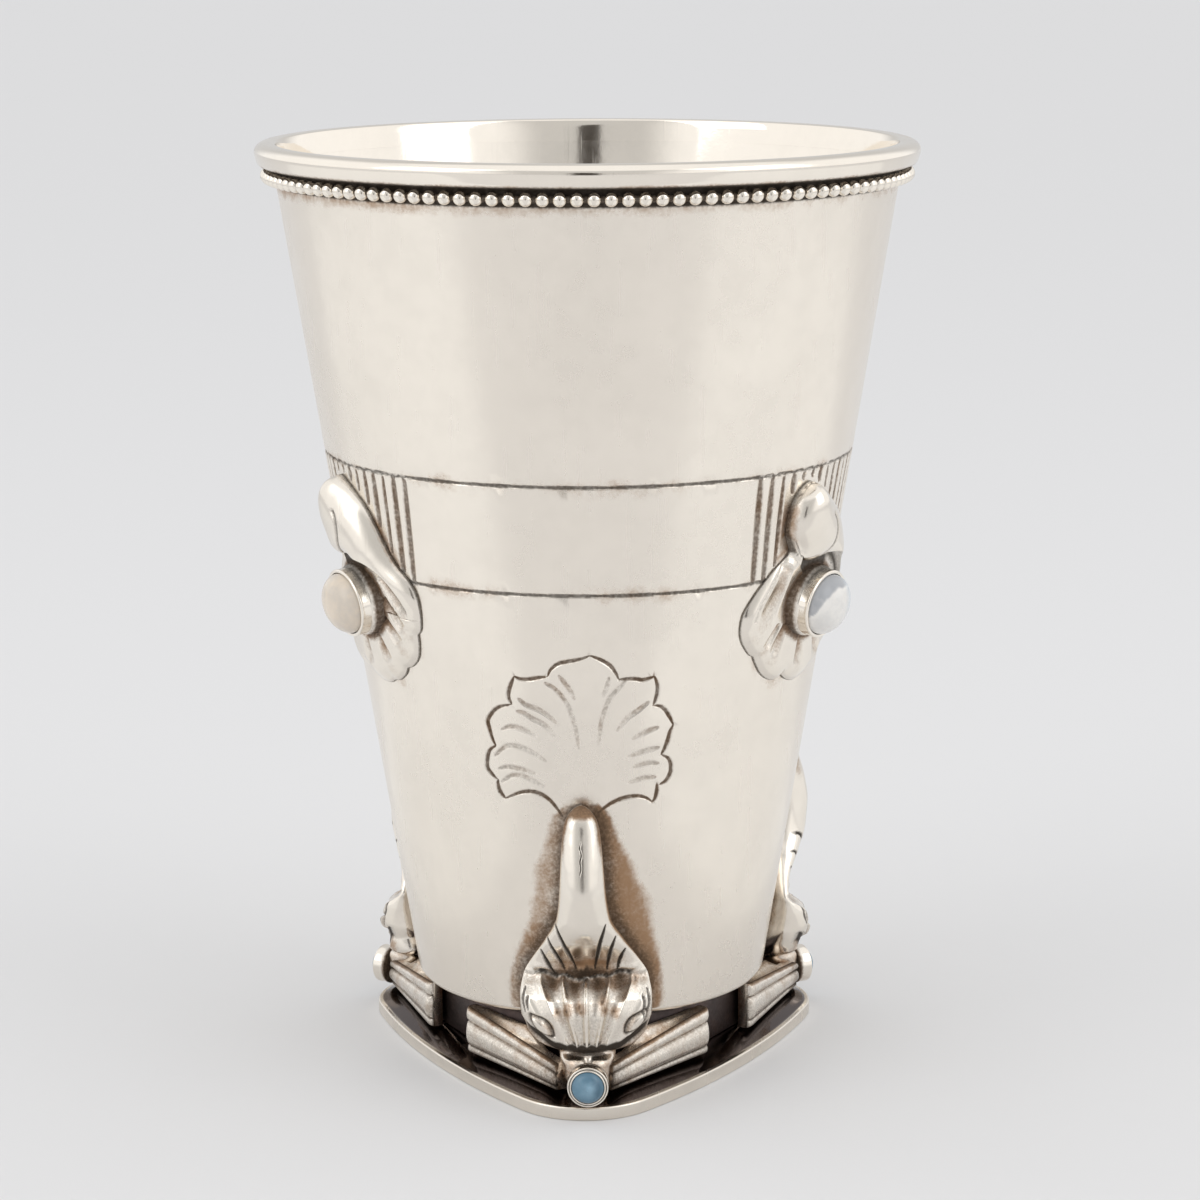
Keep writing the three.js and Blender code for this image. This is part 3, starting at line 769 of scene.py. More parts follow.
def wall_mesh(settings):
    """Points, faces, stains with painted shade, and normals of the cup's outside, with the azimuth and height
    of each point.
    """
    cuts = [(DOLPHINS.values(), palmette_cuts(settings)), (SHELLS.values(), stroke_cuts(settings))]
    half_turn = math.pi * FLAT_RADIUS
    lines = [line / MM + off for line in (settings.upper_line, settings.lower_line)
             for off in (-0.45, -0.31, -0.16, 0, 0.16, 0.31, 0.45)]
    channel = [WALL_HIGH - off for off in (3.5, 3.3, 3.2, 3.1, 3.0, 2.9, 2.8, 2.4, 1.5)]
    plain = [z for z in np.linspace(WALL_LOW, WALL_HIGH, 56)
             if min(abs(z - row) for row in lines + channel) > 0.9]
    rows = sorted({WALL_LOW, WALL_HIGH, *plain, *lines, *channel})
    arcs = np.linspace(-half_turn, half_turn, CUP_COLUMNS + 1)
    fixed = np.array([(arc, z) for z in rows for arc in arcs])
    extra = []
    for centres, group in cuts:
        for cut in group:
            extra += [flat_places(centre, *cut.beside().T) for centre in centres]
    across, z = np.meshgrid(np.arange(-20, 20.1, 0.9), np.arange(WALL_LOW + 0.7, 59, 0.9))
    extra += [flat_places(centre, across.ravel(), z.ravel()) for centre in DOLPHINS.values()]
    extra = np.vstack(extra)
    extra[:, 0] = (extra[:, 0] + half_turn) % (2 * half_turn) - half_turn
    extra = extra[(np.abs(extra[:, 0]) < half_turn - 0.15)
                  & (extra[:, 1] > WALL_LOW + 0.2) & (extra[:, 1] < WALL_HIGH - 0.2)]
    flat = np.vstack([fixed, extra])
    _, kept = np.unique(np.round(flat / 0.09).astype(int), axis=0, return_index=True)
    made = delaunay_2d_cdt([Vector(p) for p in flat[np.sort(kept)]], [], [], 0, 1e-5)
    flat = np.array([tuple(p) for p in made[0]])
    azimuth, z = flat[:, 0] / FLAT_RADIUS, flat[:, 1]
    azimuth = np.where(azimuth > math.pi - 1e-4, -math.pi, azimuth)
    keys = np.round(np.stack([azimuth * FLAT_RADIUS, z], 1), 3)
    _, first, joined_at = np.unique(keys, axis=0, return_index=True, return_inverse=True)
    joined_at = joined_at.ravel()
    azimuth, z = azimuth[first], z[first]
    faces = [tuple(int(joined_at[i]) for i in face) for face in made[2]]
    faces = [face for face in faces if len(set(face)) == 3]
    depth, stains_and_shade = wall_marks(azimuth, z, settings, cuts)
    radius = wall_radius(z) - depth
    points = np.stack([radius * np.sin(azimuth), -radius * np.cos(azimuth), z], 1)
    normals = wall_normals(azimuth, z, settings, cuts)
    a, b, c = (points[[face[k] for face in faces]] for k in range(3))
    flipped = (np.cross(b - a, c - a) * normals[[face[0] for face in faces]]).sum(1) < 0
    faces = [face[::-1] if turn else face for face, turn in zip(faces, flipped)]
    return points, faces, stains_and_shade, normals, azimuth, z


def flat_places(centre, across, z):
    """Places beside an azimuth, given by arc and height, on the wall laid flat."""
    return np.stack([(math.radians(centre) + across / wall_radius(z)) * FLAT_RADIUS, z], 1)


def cup_ring(out, up):
    """Points or directions round the cup, all as far out and up."""
    angles = np.linspace(-math.pi, math.pi, CUP_COLUMNS, endpoint=False)
    return np.stack([out * np.sin(angles), -out * np.cos(angles), np.full(CUP_COLUMNS, up)], 1)


def cup_lining():
    """Rows of radius and height down the cup's inside and out round its foot, each with its normals."""
    floor = CUP_LOW.z + CUP_FLOOR
    top, corner = ((float(wall_radius(z)) - CUP_WALL, z) for z in (WALL_HIGH, floor))
    inside = rounded([top, corner, (0.0, floor)], 5.0, 9)[:-1]
    heights = np.linspace(WALL_HIGH, inside[1][1], 9)[1:-1]
    wall = np.stack([wall_radius(heights) - CUP_WALL, heights], 1)
    inside = np.vstack([inside[:1], wall, inside[1:]])
    run = np.gradient(inside, axis=0)
    run /= np.hypot(*run.T)[:, None]
    turn = np.linspace(0, math.pi / 2, 6)[:-1]
    below = np.stack([WALL_FOOT_RADIUS - FOOT_ROUNDING * (1 - np.sin(turn)),
                      CUP_LOW.z + FOOT_ROUNDING * (1 - np.cos(turn))], 1)
    inside_out = np.stack([run[:, 1], -run[:, 0]], 1)
    return inside, inside_out, below, np.stack([np.sin(turn), -np.cos(turn)], 1)


class BEAKER_OT_cup(bpy.types.Operator):
    """Make the cup with its engraved lines, strokes and palmettes"""
    bl_idname = "beaker.cup"
    bl_label = "Cup"

    def execute(self, context):
        points, faces, stains_and_shade, normals, azimuth, z = wall_mesh(context.scene.beaker_engraving)
        inside, inside_out, below, below_out = cup_lining()
        lining = np.vstack([*(cup_ring(*row) for row in inside), [(0, 0, CUP_LOW.z + CUP_FLOOR)],
                            *(cup_ring(*row) for row in below), [(0, 0, CUP_LOW.z)]])
        outward = np.vstack([*(cup_ring(*row) for row in inside_out), [(0, 0, 1)],
                             *(cup_ring(*row) for row in below_out), [(0, 0, -1)]])

        def edge(height):
            row = np.nonzero(np.abs(z - height) < 1e-4)[0]
            if len(row) != CUP_COLUMNS:
                raise RuntimeError("the cup's edge doesn't match its columns")
            return row[np.argsort(azimuth[row])]

        def rings(start, count):
            return [start + k * CUP_COLUMNS + np.arange(CUP_COLUMNS) for k in range(count)]

        def join(rows):
            for upper, lower in zip(rows, rows[1:]):
                for i in range(CUP_COLUMNS):
                    j = (i + 1) % CUP_COLUMNS
                    faces.append((int(upper[i]), int(upper[j]), int(lower[j]), int(lower[i])))

        down = [edge(WALL_HIGH), *rings(len(points), len(inside))]
        floor = len(points) + len(inside) * CUP_COLUMNS
        under = rings(floor + 1, len(below))
        underside = len(points) + len(lining) - 1
        join(down)
        faces += [(floor, int(a), int(b)) for a, b in zip(down[-1], np.roll(down[-1], -1))]
        join([under[-1], edge(WALL_LOW)])
        join(under)
        faces += [(underside, int(b), int(a)) for a, b in zip(under[0], np.roll(under[0], -1))]
        worn = smoothstep(WALL_HIGH - 16, WALL_HIGH - 36, lining[:, 2])
        polish = np.append(np.zeros(len(points)), 1 - 1.5 * worn)
        make_piece("cup_wall", np.vstack([points, lining]), faces, finish("cup_silver"),
                   ["cup"], {**stains_and_shade.marks(np.zeros(len(lining))), "polish": polish},
                   np.vstack([normals, outward]))
        return {"FINISHED"}


class BEAKER_OT_lip(bpy.types.Operator):
    """Make the heavy rounded lip"""
    bl_idname = "beaker.lip"
    bl_label = "Lip"

    def execute(self, context):
        inner, outer = CUP_HIGH.x - CUP_WALL, LIP_HIGH.x
        low, high = LIP_LOW.z, LIP_HIGH.z
        outside = [(outer - 1.3, low + 0.05), (outer - 0.55, low + 0.5), (outer - 0.18, low + 1.5),
                   (outer, low + 2.5), (outer - 0.25, low + 3.2), (outer - 0.95, high - 0.25),
                   (outer - 2.0, high), (inner + 1.0, high - 0.1), (inner + 0.72, high - 0.3),
                   (inner + 0.60, high - 0.6)]
        heights = [*np.linspace(high - 0.9, low + 0.1, 6), low + 0.01]
        inside = [(inner + WALL_SLOPE * (z - low), z) for z in heights]
        flat = [(inner, low), (inner + 0.02, low), (inner + 0.5, low + 0.1)]
        points, faces = ring_solid(np.vstack([smooth_path(outside, 0.22), inside, flat]), LIP_COLUMNS)
        radius, z = np.hypot(points[:, 0], points[:, 1]), points[:, 2]
        # painted shade: the lip's underside over the beads is darkened; brown bloom along its lower edge
        under = (smoothstep(low + 0.7, low + 0.2, z) * smoothstep(outer - 0.2, outer - 0.9, radius)
                 * smoothstep(inner + 0.6, inner + 1.2, radius))
        bloom = 0.5 * smoothstep(low + 1.0, low + 0.2, z) * (radius > inner + 1)
        make_piece("lip_rim", points, faces, finish("bright_silver"), ["lip_band"],
                   {"dark": 0.95 * under, "bloom": bloom, "polish": 0.3 * (radius < inner + 0.8)})
        return {"FINISHED"}


def bead_tree(material):
    """Geometry nodes that set beads round a ring."""
    tree = bpy.data.node_groups.new("Bead Row", "GeometryNodeTree")
    for label, kind in (("Beads", "NodeSocketInt"), ("Ring Radius", "NodeSocketFloat"),
                        ("Height", "NodeSocketFloat"), ("Bead Radius", "NodeSocketFloat")):
        tree.interface.new_socket(label, in_out="INPUT", socket_type=kind)
    tree.interface.new_socket("Geometry", in_out="OUTPUT", socket_type="NodeSocketGeometry")
    given = tree.nodes.new("NodeGroupInput")
    ring = joined(tree, "GeometryNodeMeshCircle", {
        "Vertices": given.outputs["Beads"], "Radius": given.outputs["Ring Radius"]})
    lift = joined(tree, "ShaderNodeCombineXYZ", {2: given.outputs["Height"]})
    raised = joined(tree, "GeometryNodeTransform", {
        "Geometry": ring.outputs["Mesh"], "Translation": lift.outputs[0]})
    ball = joined(tree, "GeometryNodeMeshUVSphere", {
        "Segments": 14, "Rings": 9, "Radius": given.outputs["Bead Radius"]})
    smooth = joined(tree, "GeometryNodeSetShadeSmooth", {"Geometry": ball.outputs["Mesh"]})
    beads = joined(tree, "GeometryNodeInstanceOnPoints", {
        "Points": raised.outputs[0], "Instance": smooth.outputs[0]})
    whole = joined(tree, "GeometryNodeRealizeInstances", {"Geometry": beads.outputs[0]})
    dressed = joined(tree, "GeometryNodeSetMaterial", {"Geometry": whole.outputs[0], "Material": material})
    made = tree.nodes.new("NodeGroupOutput")
    tree.links.new(dressed.outputs[0], made.inputs["Geometry"])
    return tree


def from_nodes(name, tree, values):
    """Plain mesh object from a geometry node tree with the given inputs."""
    carrier = bpy.data.objects.new(name + "_nodes", bpy.data.meshes.new(name + "_nodes"))
    bpy.context.scene.collection.objects.link(carrier)
    modifier = carrier.modifiers.new(tree.name, "NODES")
    modifier.node_group = tree
    for item in tree.interface.items_tree:
        if item.item_type == "SOCKET" and item.in_out == "INPUT":
            modifier[item.identifier] = values[item.name]
    ready = carrier.evaluated_get(bpy.context.evaluated_depsgraph_get())
    mesh = bpy.data.meshes.new_from_object(ready)
    mesh.name = name
    carrier.modifiers.remove(modifier)
    bpy.data.objects.remove(carrier)
    piece = bpy.data.objects.new(name, mesh)
    bpy.context.scene.collection.objects.link(piece)
    return piece


class BEAKER_OT_beads(bpy.types.Operator):
    """Make the beaded wire under the lip"""
    bl_idname = "beaker.beads"
    bl_label = "Beads"

    def execute(self, context):
        settings = context.scene.beaker_beads
        centre = BEAD_RING - settings.radius / MM
        piece = from_nodes("bead_row", bead_tree(finish("bright_silver")), {
            "Beads": settings.count, "Ring Radius": centre * MM, "Height": BEAD_HEIGHT * MM,
            "Bead Radius": settings.radius * 0.998})
        seat(piece, ["bead_wire"])
        turn = np.arange(12) * math.pi / 6
        neck = settings.neck / MM
        section = np.stack([centre - 0.25 + neck * np.cos(turn), BEAD_HEIGHT + neck * np.sin(turn)], 1)
        points, faces = ring_solid(section, CUP_COLUMNS)
        # painted shade: the wire between the beads is dark as the shade behind them, with bloom
        make_piece("bead_neck", points, faces, finish("worn_silver"), [],
                   {"dark": np.full(len(points), 0.9), "bloom": np.full(len(points), 0.6)})
        return {"FINISHED"}


# Foot

class RoundTriangle:
    """Triangle with bowed sides and round corners, one corner at azimuth 0."""

    def __init__(self, reach, corner, side):
        self.corner, self.side, self.corner_at = corner, side, reach - corner
        self.span = side - corner
        self.side_at = (math.sqrt(4 * self.span ** 2 - 3 * self.corner_at ** 2) - self.corner_at) / 2

    def radius(self, azimuth, inset):
        third = 2 * math.pi / 3
        off = abs(azimuth - third * round(azimuth / third))
        r = self.corner - inset
        share = r / self.span
        tangent = math.atan2(share * self.side_at * math.sin(math.pi / 3),
                             self.corner_at + share * (self.corner_at + self.side_at / 2))
        if off < tangent:
            return self.corner_at * math.cos(off) + math.sqrt(r * r - (self.corner_at * math.sin(off)) ** 2)
        r, off = self.side - inset, math.pi / 3 - off
        return math.sqrt(r * r - (self.side_at * math.sin(off)) ** 2) - self.side_at * math.cos(off)

    def ring(self, z, inset, columns=240):
        turns = np.arange(columns) * 2 * math.pi / columns
        radius = np.array([self.radius(t, inset) for t in turns])
        return np.stack([radius * np.sin(turns), -radius * np.cos(turns), np.full(columns, z)], 1)


PLATE = RoundTriangle(43.5, 14.0, 140.0)
BLOCK = RoundTriangle(WALL_FOOT_RADIUS, 20.0, 400.0)
PLATE_EDGE = 2.3
BEVEL_WIDTH = 5.6


class BEAKER_OT_foot(bpy.types.Operator):
    """Make the base plate and the blackened block on it"""
    bl_idname = "beaker.foot"
    bl_label = "Foot"

    def execute(self, context):
        section = rounded([(0.5, 0.0), (0.0, 0.02), (0.0, PLATE_EDGE - 0.02), (0.75, PLATE_EDGE + 0.02),
                           (BEVEL_WIDTH, TABLE - 0.02), (BEVEL_WIDTH + 2.5, TABLE)], 0.3, 5)
        grid = np.array([PLATE.ring(z, inset) for inset, z in section])
        grid[0, :, 2] = 0.0
        points, faces = capped_grid(grid)
        black = smoothstep(0.62, 0.95, section[:, 0]) * (section[:, 1] > 1.0)
        marks = np.concatenate([np.repeat(black, grid.shape[1]), [0.0, 1.0]])
        make_piece("foot_plate", points, faces, finish("plate_silver"), ["base_plate"],
                   {"dark": marks})
        rows = [(TABLE, 0.35), (TABLE + 0.3, 0.0), (CUP_LOW.z - 0.3, 0.0), (CUP_LOW.z - 0.02, 0.3)]
        points, faces = capped_grid(np.array([BLOCK.ring(z, inset, 180) for z, inset in rows]))
        make_piece("foot_core", points, faces, finish("oxidised_silver"), ["foot_block"])
        return {"FINISHED"}


# Dolphins

# Height, half width, and how far the front and the back stand off the wall
DOLPHIN_STATIONS = [
    (4.4, 3.8, 9.4, 0), (6.3, 4.4, 11.2, 0), (9.0, 4.7, 11.3, 0), (10.4, 4.9, 9.8, 0), (10.9, 5.6, 9.3, 0),
    (11.3, 7.1, 10.0, 0), (11.8, 8.1, 10.4, 0), (12.5, 8.9, 10.6, 0), (14.3, 10.2, 10.8, 0),
    (17.0, 11.0, 11.0, 0), (20.0, 11.1, 9.8, 0), (22.0, 10.8, 7.3, 0), (23.2, 10.5, 5.2, 0),
    (24.2, 10.0, 4.6, 0), (26.5, 8.6, 5.4, 0), (30.0, 6.5, 8.0, 0.2), (34.2, 4.5, 9.8, 1.4),
    (38.4, 3.9, 9.6, 2.2), (43.0, 3.6, 8.2, 1.8), (47.0, 3.3, 6.3, 0.8), (49.0, 3.05, 5.2, 0.3),
    (50.5, 2.7, 4.4, 0), (51.6, 2.15, 3.5, 0), (52.4, 1.45, 2.5, 0), (52.8, 0.85, 1.8, 0),
    (53.0, 0.1, 0.7, 0),
]
DOLPHIN_Z, DOLPHIN_HALF, DOLPHIN_FRONT, DOLPHIN_BACK = zip(*DOLPHIN_STATIONS)
HEAD_TURN = {"front": 0.0, "right": 0.0, "left": -4.0}
DOLPHIN_LEAN = -0.02
LEAN_CENTRE = 33.0
HOOD_STROKES = [
    [(-4.9, 33.8), (-3.3, 29.7), (-1.5, 24.7)], [(-6.2, 30.6), (-4.9, 27.7), (-3.4, 24.5)],
    [(-7.4, 28.0), (-6.4, 25.8), (-5.1, 23.6)], [(3.8, 33.8), (2.7, 30.0), (1.6, 24.7)],
    [(5.4, 31.2), (4.5, 28.7), (3.6, 24.6)], [(6.9, 28.5), (6.0, 26.7), (5.3, 24.5)],
]
BROW_LINE = [(-8.6, 23.8), (-7.2, 24.0), (-5.2, 23.6), (-3.4, 23.7), (-1.6, 23.3), (0.2, 23.4), (2.2, 23.7),
             (4.0, 23.6), (5.8, 24.1), (7.6, 23.9)]
JAW = (11.3, 2.66, 8.8)
FLUTE_PITCHES = (1.55, 3.85)
CHEEK_LINES = [[(-10.2, 21.8), (-10.6, 19.6), (-10.2, 17.6)], [(-9.7, 20.6), (-9.9, 19.2), (-9.7, 18.0)],
               [(9.7, 21.0), (9.9, 19.0), (9.4, 16.9)], [(10.4, 21.6), (10.7, 19.4), (10.3, 17.2)]]
TAIL_FLAW = [(0.0, 47.8), (-0.25, 46.9), (0.05, 45.9), (-0.2, 44.8), (-0.05, 43.8), (-0.3, 42.6)]
PATINA_SPOTS = [(-4.9, 18.4, 0.45), (-1.0, 19.4, 0.5), (-0.7, 18.6, 0.4), (2.9, 20.3, 0.6), (3.3, 18.9, 0.4),
                (-3.2, 18.6, 0.5), (4.9, 18.6, 0.5), (8.4, 23.0, 0.5)]
EYES = [(-7.5, 15.6), (8.5, 16.3)]


def dolphin_relief(x, z, half, settings, flaw):
    """How far a dolphin's front moves out, and its stains and painted shade, at places across and up."""
    out, stains_and_shade = np.zeros_like(x), StainsAndShade(len(x))
    at = np.stack([x, z], 1)

    def cut(points, width, depth, dark, ends):
        cut_depth, cut_dark = Cut(points, width, depth, dark, ends).at(at)
        stains_and_shade.touch(cut_dark)
        return cut_depth

    brow_path = smooth_path(BROW_LINE, 0.35)
    brow = np.interp(x, *brow_path.T)
    pitch = np.interp(z, [11.6, 22.6], FLUTE_PITCHES)
    place = (x - 0.1) / pitch
    flutes = np.abs(np.sin(math.pi * place)) ** 0.75
    jaw = JAW[0] + JAW[1] * np.abs(x / JAW[2]) ** 2.35
    sides = 0.6 * smoothstep(2.2, 1.9, np.abs(place)) + 0.4 * smoothstep(3.1, 2.8, np.abs(place))
    zone = smoothstep(jaw, jaw + 0.9, z) * smoothstep(brow + 0.1, brow - 0.5, z) * sides
    out -= settings.flute_depth / MM * flutes * zone * (0.5 + 0.5 * pitch / FLUTE_PITCHES[1])
    upper = smoothstep(brow - 3.6, brow - 0.4, z) * (z < brow)
    # patina in the flutes' valleys, darkened towards the brow as painted shade and reflection under the hood
    stains_and_shade.touch(flutes ** 1.5 * zone * (0.24 + 0.62 * upper), upper * zone * (0.35 + 0.65 * flutes))
    stains_and_shade.touch(0.0, 0.30 * flutes ** 2 * zone)

    crease, _ = to_path(at, brow_path)
    ragged = 0.10 * np.sin(2.9 * x + 0.5) + 0.07 * np.sin(6.7 * x)
    inner = smoothstep(9.2, 8.2, np.abs(x))
    out -= settings.brow_depth / MM * bell(crease, 0.30) * inner
    out += 0.28 * bell(z - brow - 0.9, 0.6) * inner
    stains_and_shade.touch(0.98 * bell(crease + ragged, 0.34) * inner)
    shadow = smoothstep(brow + 2.2 + 3 * ragged, brow + 1.0 + 2 * ragged, z) * bell(x + 0.3, 4.6)
    above = bell(np.clip(z - brow - 1.8, 0, None), 2.1) * bell(x - 0.4, 6.2)
    stains_and_shade.touch(0.95 * shadow * (z > brow), above * (z > brow))
    for points in HOOD_STROKES:
        out -= cut(points, 0.74, 0.42, 0.97, 0.3)
        near, _ = to_path(at, smooth_path(points, 0.5))
        stains_and_shade.touch(0.0, 0.38 * bell(near, 0.9) * smoothstep(29.5, 25.0, z))

    # painted shadow: a dark band along the jaw where the head overhangs the muzzle, with brown bloom under it
    mouth = smoothstep(jaw + 1.1, jaw + 0.6, z) * smoothstep(jaw - 1.1, jaw - 0.4, z)
    out -= 0.5 * mouth * smoothstep(5.0, 8.0, np.abs(x))
    stains_and_shade.touch(0.99 * mouth, 0.55 * smoothstep(jaw + 0.2, jaw - 0.6, z) * smoothstep(9.5, 10.1, z))
    lips = smoothstep(10.4, 9.4, z) * smoothstep(4.4, 6.0, z)
    notch = bell(x - 0.25, 0.5) * lips
    out += 0.5 * lips * np.abs(np.sin(math.pi * np.clip(x / half, -1, 1))) - 0.8 * notch
    stains_and_shade.touch(0.9 * notch, 0.45 * lips)

    for across, height in EYES:
        side = math.copysign(1.0, across)
        along = np.abs((x - across) * -side + (height - z)) / math.sqrt(2)
        off = ((x - across) * side + (height - z)) / math.sqrt(2)
        span = np.clip(1 - (along / 2.7) ** 2, 0, 1)
        edge = np.abs(off) - 1.05 * span
        lid = bell(edge, 0.28) * smoothstep(3.1, 2.6, along)
        out += 0.55 * smoothstep(0.1, -0.8, edge) * np.sqrt(span) - 0.5 * lid
        stains_and_shade.touch(0.99 * bell(edge - 0.06, 0.32) * smoothstep(3.1, 2.7, along),
                     0.4 * bell(edge, 0.7) * smoothstep(3.4, 2.6, along))
    for across, height, size in PATINA_SPOTS:
        spot = np.hypot(x - across, (z - height) / 1.5)
        stains_and_shade.touch(0.8 * bell(spot, 0.6 * size), 0.7 * bell(spot, 2.2 * size))
    for points in CHEEK_LINES:
        out -= cut(points, 0.55, 0.28, 0.85, 0.2)
    # the tail's edges and tip: bloom, and darkening that is painted reflection of the dark gap by the wall
    # and painted shade where the tip meets it
    tail_edge = smoothstep(0.72, 0.98, np.abs(x) / half) * smoothstep(42, 49, z)
    tip = np.maximum(smoothstep(50.6, 52.0, z), tail_edge)
    stains_and_shade.touch(0.5 * tip, tip)
    if flaw:
        out -= cut(TAIL_FLAW, 0.26, 0.2, 1.0, 0.5)
    return out, stains_and_shade


def dolphin_mesh(settings, flaw):
    """Points, faces and marks of a dolphin at azimuth 0, from rows round it at each height."""
    rows = np.concatenate([np.arange(4.4, 10.1, 0.24), np.arange(10.2, 12.9, 0.1),
                           np.arange(13.0, 34.4, 0.15), np.arange(34.5, 51.4, 0.25),
                           np.linspace(51.5, 52.98, 14)])
    base = np.linspace(0, 2 * math.pi, 220, endpoint=False)
    z, phi = np.meshgrid(rows, base - 0.45 * np.sin(base), indexing="ij")
    half, front, back = (hermite(DOLPHIN_Z, values, z.ravel()).reshape(z.shape)
                         for values in (DOLPHIN_HALF, DOLPHIN_FRONT, DOLPHIN_BACK))
    middle, deep = backing(z) + (front + back) / 2, (front - back) / 2
    s, c = np.sin(phi), np.cos(phi)
    x = half * np.sign(s) * np.abs(s) ** 0.92
    reach = middle + deep * np.sign(c) * np.abs(c) ** 0.92
    grid = np.stack([x, -reach, z], 2)
    along, around = np.gradient(grid, axis=0), np.roll(grid, -1, 1) - np.roll(grid, 1, 1)
    normal = np.cross(around, along)
    normal /= np.maximum(np.linalg.norm(normal, axis=2), 1e-9)[..., None]
    facing = smoothstep(-0.15, 0.2, c)
    out, stains_and_shade = dolphin_relief(x.ravel(), z.ravel(), half.ravel(), settings, flaw)
    grid = grid + normal * (out.reshape(z.shape) * facing)[..., None]
    grid[..., 0] += DOLPHIN_LEAN * (z - LEAN_CENTRE)
    stains_and_shade.fade(facing.ravel())
    # painted shade on the back, which faces the wall, with bloom there too
    stains_and_shade.touch(0.5 * smoothstep(-0.6, -0.95, c).ravel(), 0.6 * smoothstep(-0.45, -0.9, c).ravel())
    return *capped_grid(grid), stains_and_shade.marks([0.5, 0.2])


class BEAKER_OT_dolphins(bpy.types.Operator):
    """Make the three dolphins"""
    bl_idname = "beaker.dolphins"
    bl_label = "Dolphins"

    def execute(self, context):
        settings = context.scene.beaker_castings
        for place, azimuth in DOLPHINS.items():
            points, faces, marks = dolphin_mesh(settings, place == "front")
            turn = azimuth + HEAD_TURN[place] * smoothstep(10.5, 15.0, points[:, 2])
            make_piece(f"dolphin_{place}_cast", turned_points(points, turn), faces, finish("worn_silver"),
                       [f"dolphin_{place}"], marks)
        return {"FINISHED"}


FIN_FACING = math.radians(50)
FIN_LENGTH = 22.0
FIN_BACK = 1.5
FIN_TOPS = (4.6, 8.2)
FIN_BOUNDS = (0.0, 0.17, 0.70, 1.0)
FIN_TUCK = 3.4
FIN_RISE = 0.35
LIPS_HALF = 4.8


def fin_mesh(side, settings):
    """Fan of ridges with rounded ends, from the lips back to the block."""
    out = np.array([math.sin(FIN_FACING), -math.cos(FIN_FACING)])
    run = np.array([math.cos(FIN_FACING), math.sin(FIN_FACING)])
    foot = out * (BLOCK.corner_at * math.cos(FIN_FACING) + BLOCK.corner + SOLDER_GAP + FIN_BACK)
    root = foot + run * ((LIPS_HALF + SOLDER_GAP + FIN_BACK * out[0] - foot[0]) / run[0])
    bottom = TABLE + 0.02
    ridge = settings.fin_ridge / MM
    shares = np.concatenate([np.linspace(0, 0.9, 40), np.linspace(0.905, 1, 16)])
    steps = [np.linspace(low, high, 17)[:-1] for low, high in zip(FIN_BOUNDS, FIN_BOUNDS[1:])]
    ups = np.concatenate([*steps, [1.0]])
    rows, dark, bloom = [], [], []
    for share in shares:
        at = root + run * (share * (FIN_LENGTH + FIN_TUCK) - FIN_TUCK)
        tall = FIN_TOPS[0] + (FIN_TOPS[1] - FIN_TOPS[0]) * share - 0.02
        to_end = (1 - share) * (FIN_LENGTH + FIN_TUCK)
        rise = min(1.0, max(0.0, (1 - to_end / FIN_LENGTH) / FIN_RISE))
        rear = max(tall, FIN_TOPS[0] + (FIN_TOPS[1] - FIN_TOPS[0]) * rise - 0.02)
        row, row_dark, row_bloom = [], [], []
        for up in ups:
            k = min(np.searchsorted(FIN_BOUNDS, up, side="right") - 1, len(FIN_BOUNDS) - 2)
            low, high = FIN_BOUNDS[k], FIN_BOUNDS[k + 1]
            t = (up - low) / (high - low)
            swell = math.sqrt(max(0.0, 1 - (2 * t - 1) ** 2)) ** 0.8
            rounding = math.sqrt(max(0.0, 1 - max(0.0, 1 - to_end / 1.3) ** 2))
            narrow = min(1.0, (high - low) / 0.38) ** 0.5
            proud = ridge * (0.2 + 0.8 * swell) * (0.3 + 0.7 * rounding) * narrow
            groove = (1 - swell) ** 2
            shade = 0.84 * max(0.0, 0.5 - up) + 2.5 * max(0.0, 0.2 - share)
            row.append((*(at + out * proud), bottom + up * tall))
            row_dark.append(min(0.95, 0.16 + groove + shade))
            row_bloom.append(min(1.0, 0.24 + 0.6 * groove + 0.6 * max(0.0, 0.4 - share) + 0.35 * (up > 0.95)))
        slope = rear - tall
        for off, up, stain in ((0.15, tall, 0.5), (-FIN_BACK * 0.45, tall + 0.5 * slope, 0.4),
                               (-FIN_BACK * 0.9, tall + 0.97 * slope, 0.6), (-FIN_BACK, rear - 0.15, 0.9),
                               (-FIN_BACK, 0.1, 0.6), (-FIN_BACK * 0.5, 0.0, 0.6)):
            row.append((*(at + out * off), bottom + up))
            row_dark.append(0.12 + 0.5 * max(0.0, 0.35 - share))
            row_bloom.append(stain)
        rows.append(row)
        dark.append(row_dark)
        bloom.append(row_bloom)
    grid = np.array(rows)
    grid[..., 0] *= side
    if side > 0:
        grid, dark, bloom = grid[::-1], dark[::-1], bloom[::-1]
    return *capped_grid(grid), {"dark": np.append(dark, [0.3, 0.3]), "bloom": np.append(bloom, [0.3, 0.3])}


class BEAKER_OT_fins(bpy.types.Operator):
    """Make the ridged fins beside the dolphins"""
    bl_idname = "beaker.fins"
    bl_label = "Fins"

    def execute(self, context):
        settings = context.scene.beaker_castings
        for place, azimuth in DOLPHINS.items():
            for letter, side in (("a", -1), ("b", 1)):
                points, faces, marks = fin_mesh(side, settings)
                make_piece(f"fin_{place}_{letter}_cast", turned_points(points, azimuth), faces,
                           finish("worn_silver"), [f"fin_{place}_{letter}"], marks)
        return {"FINISHED"}


# Settings and stones

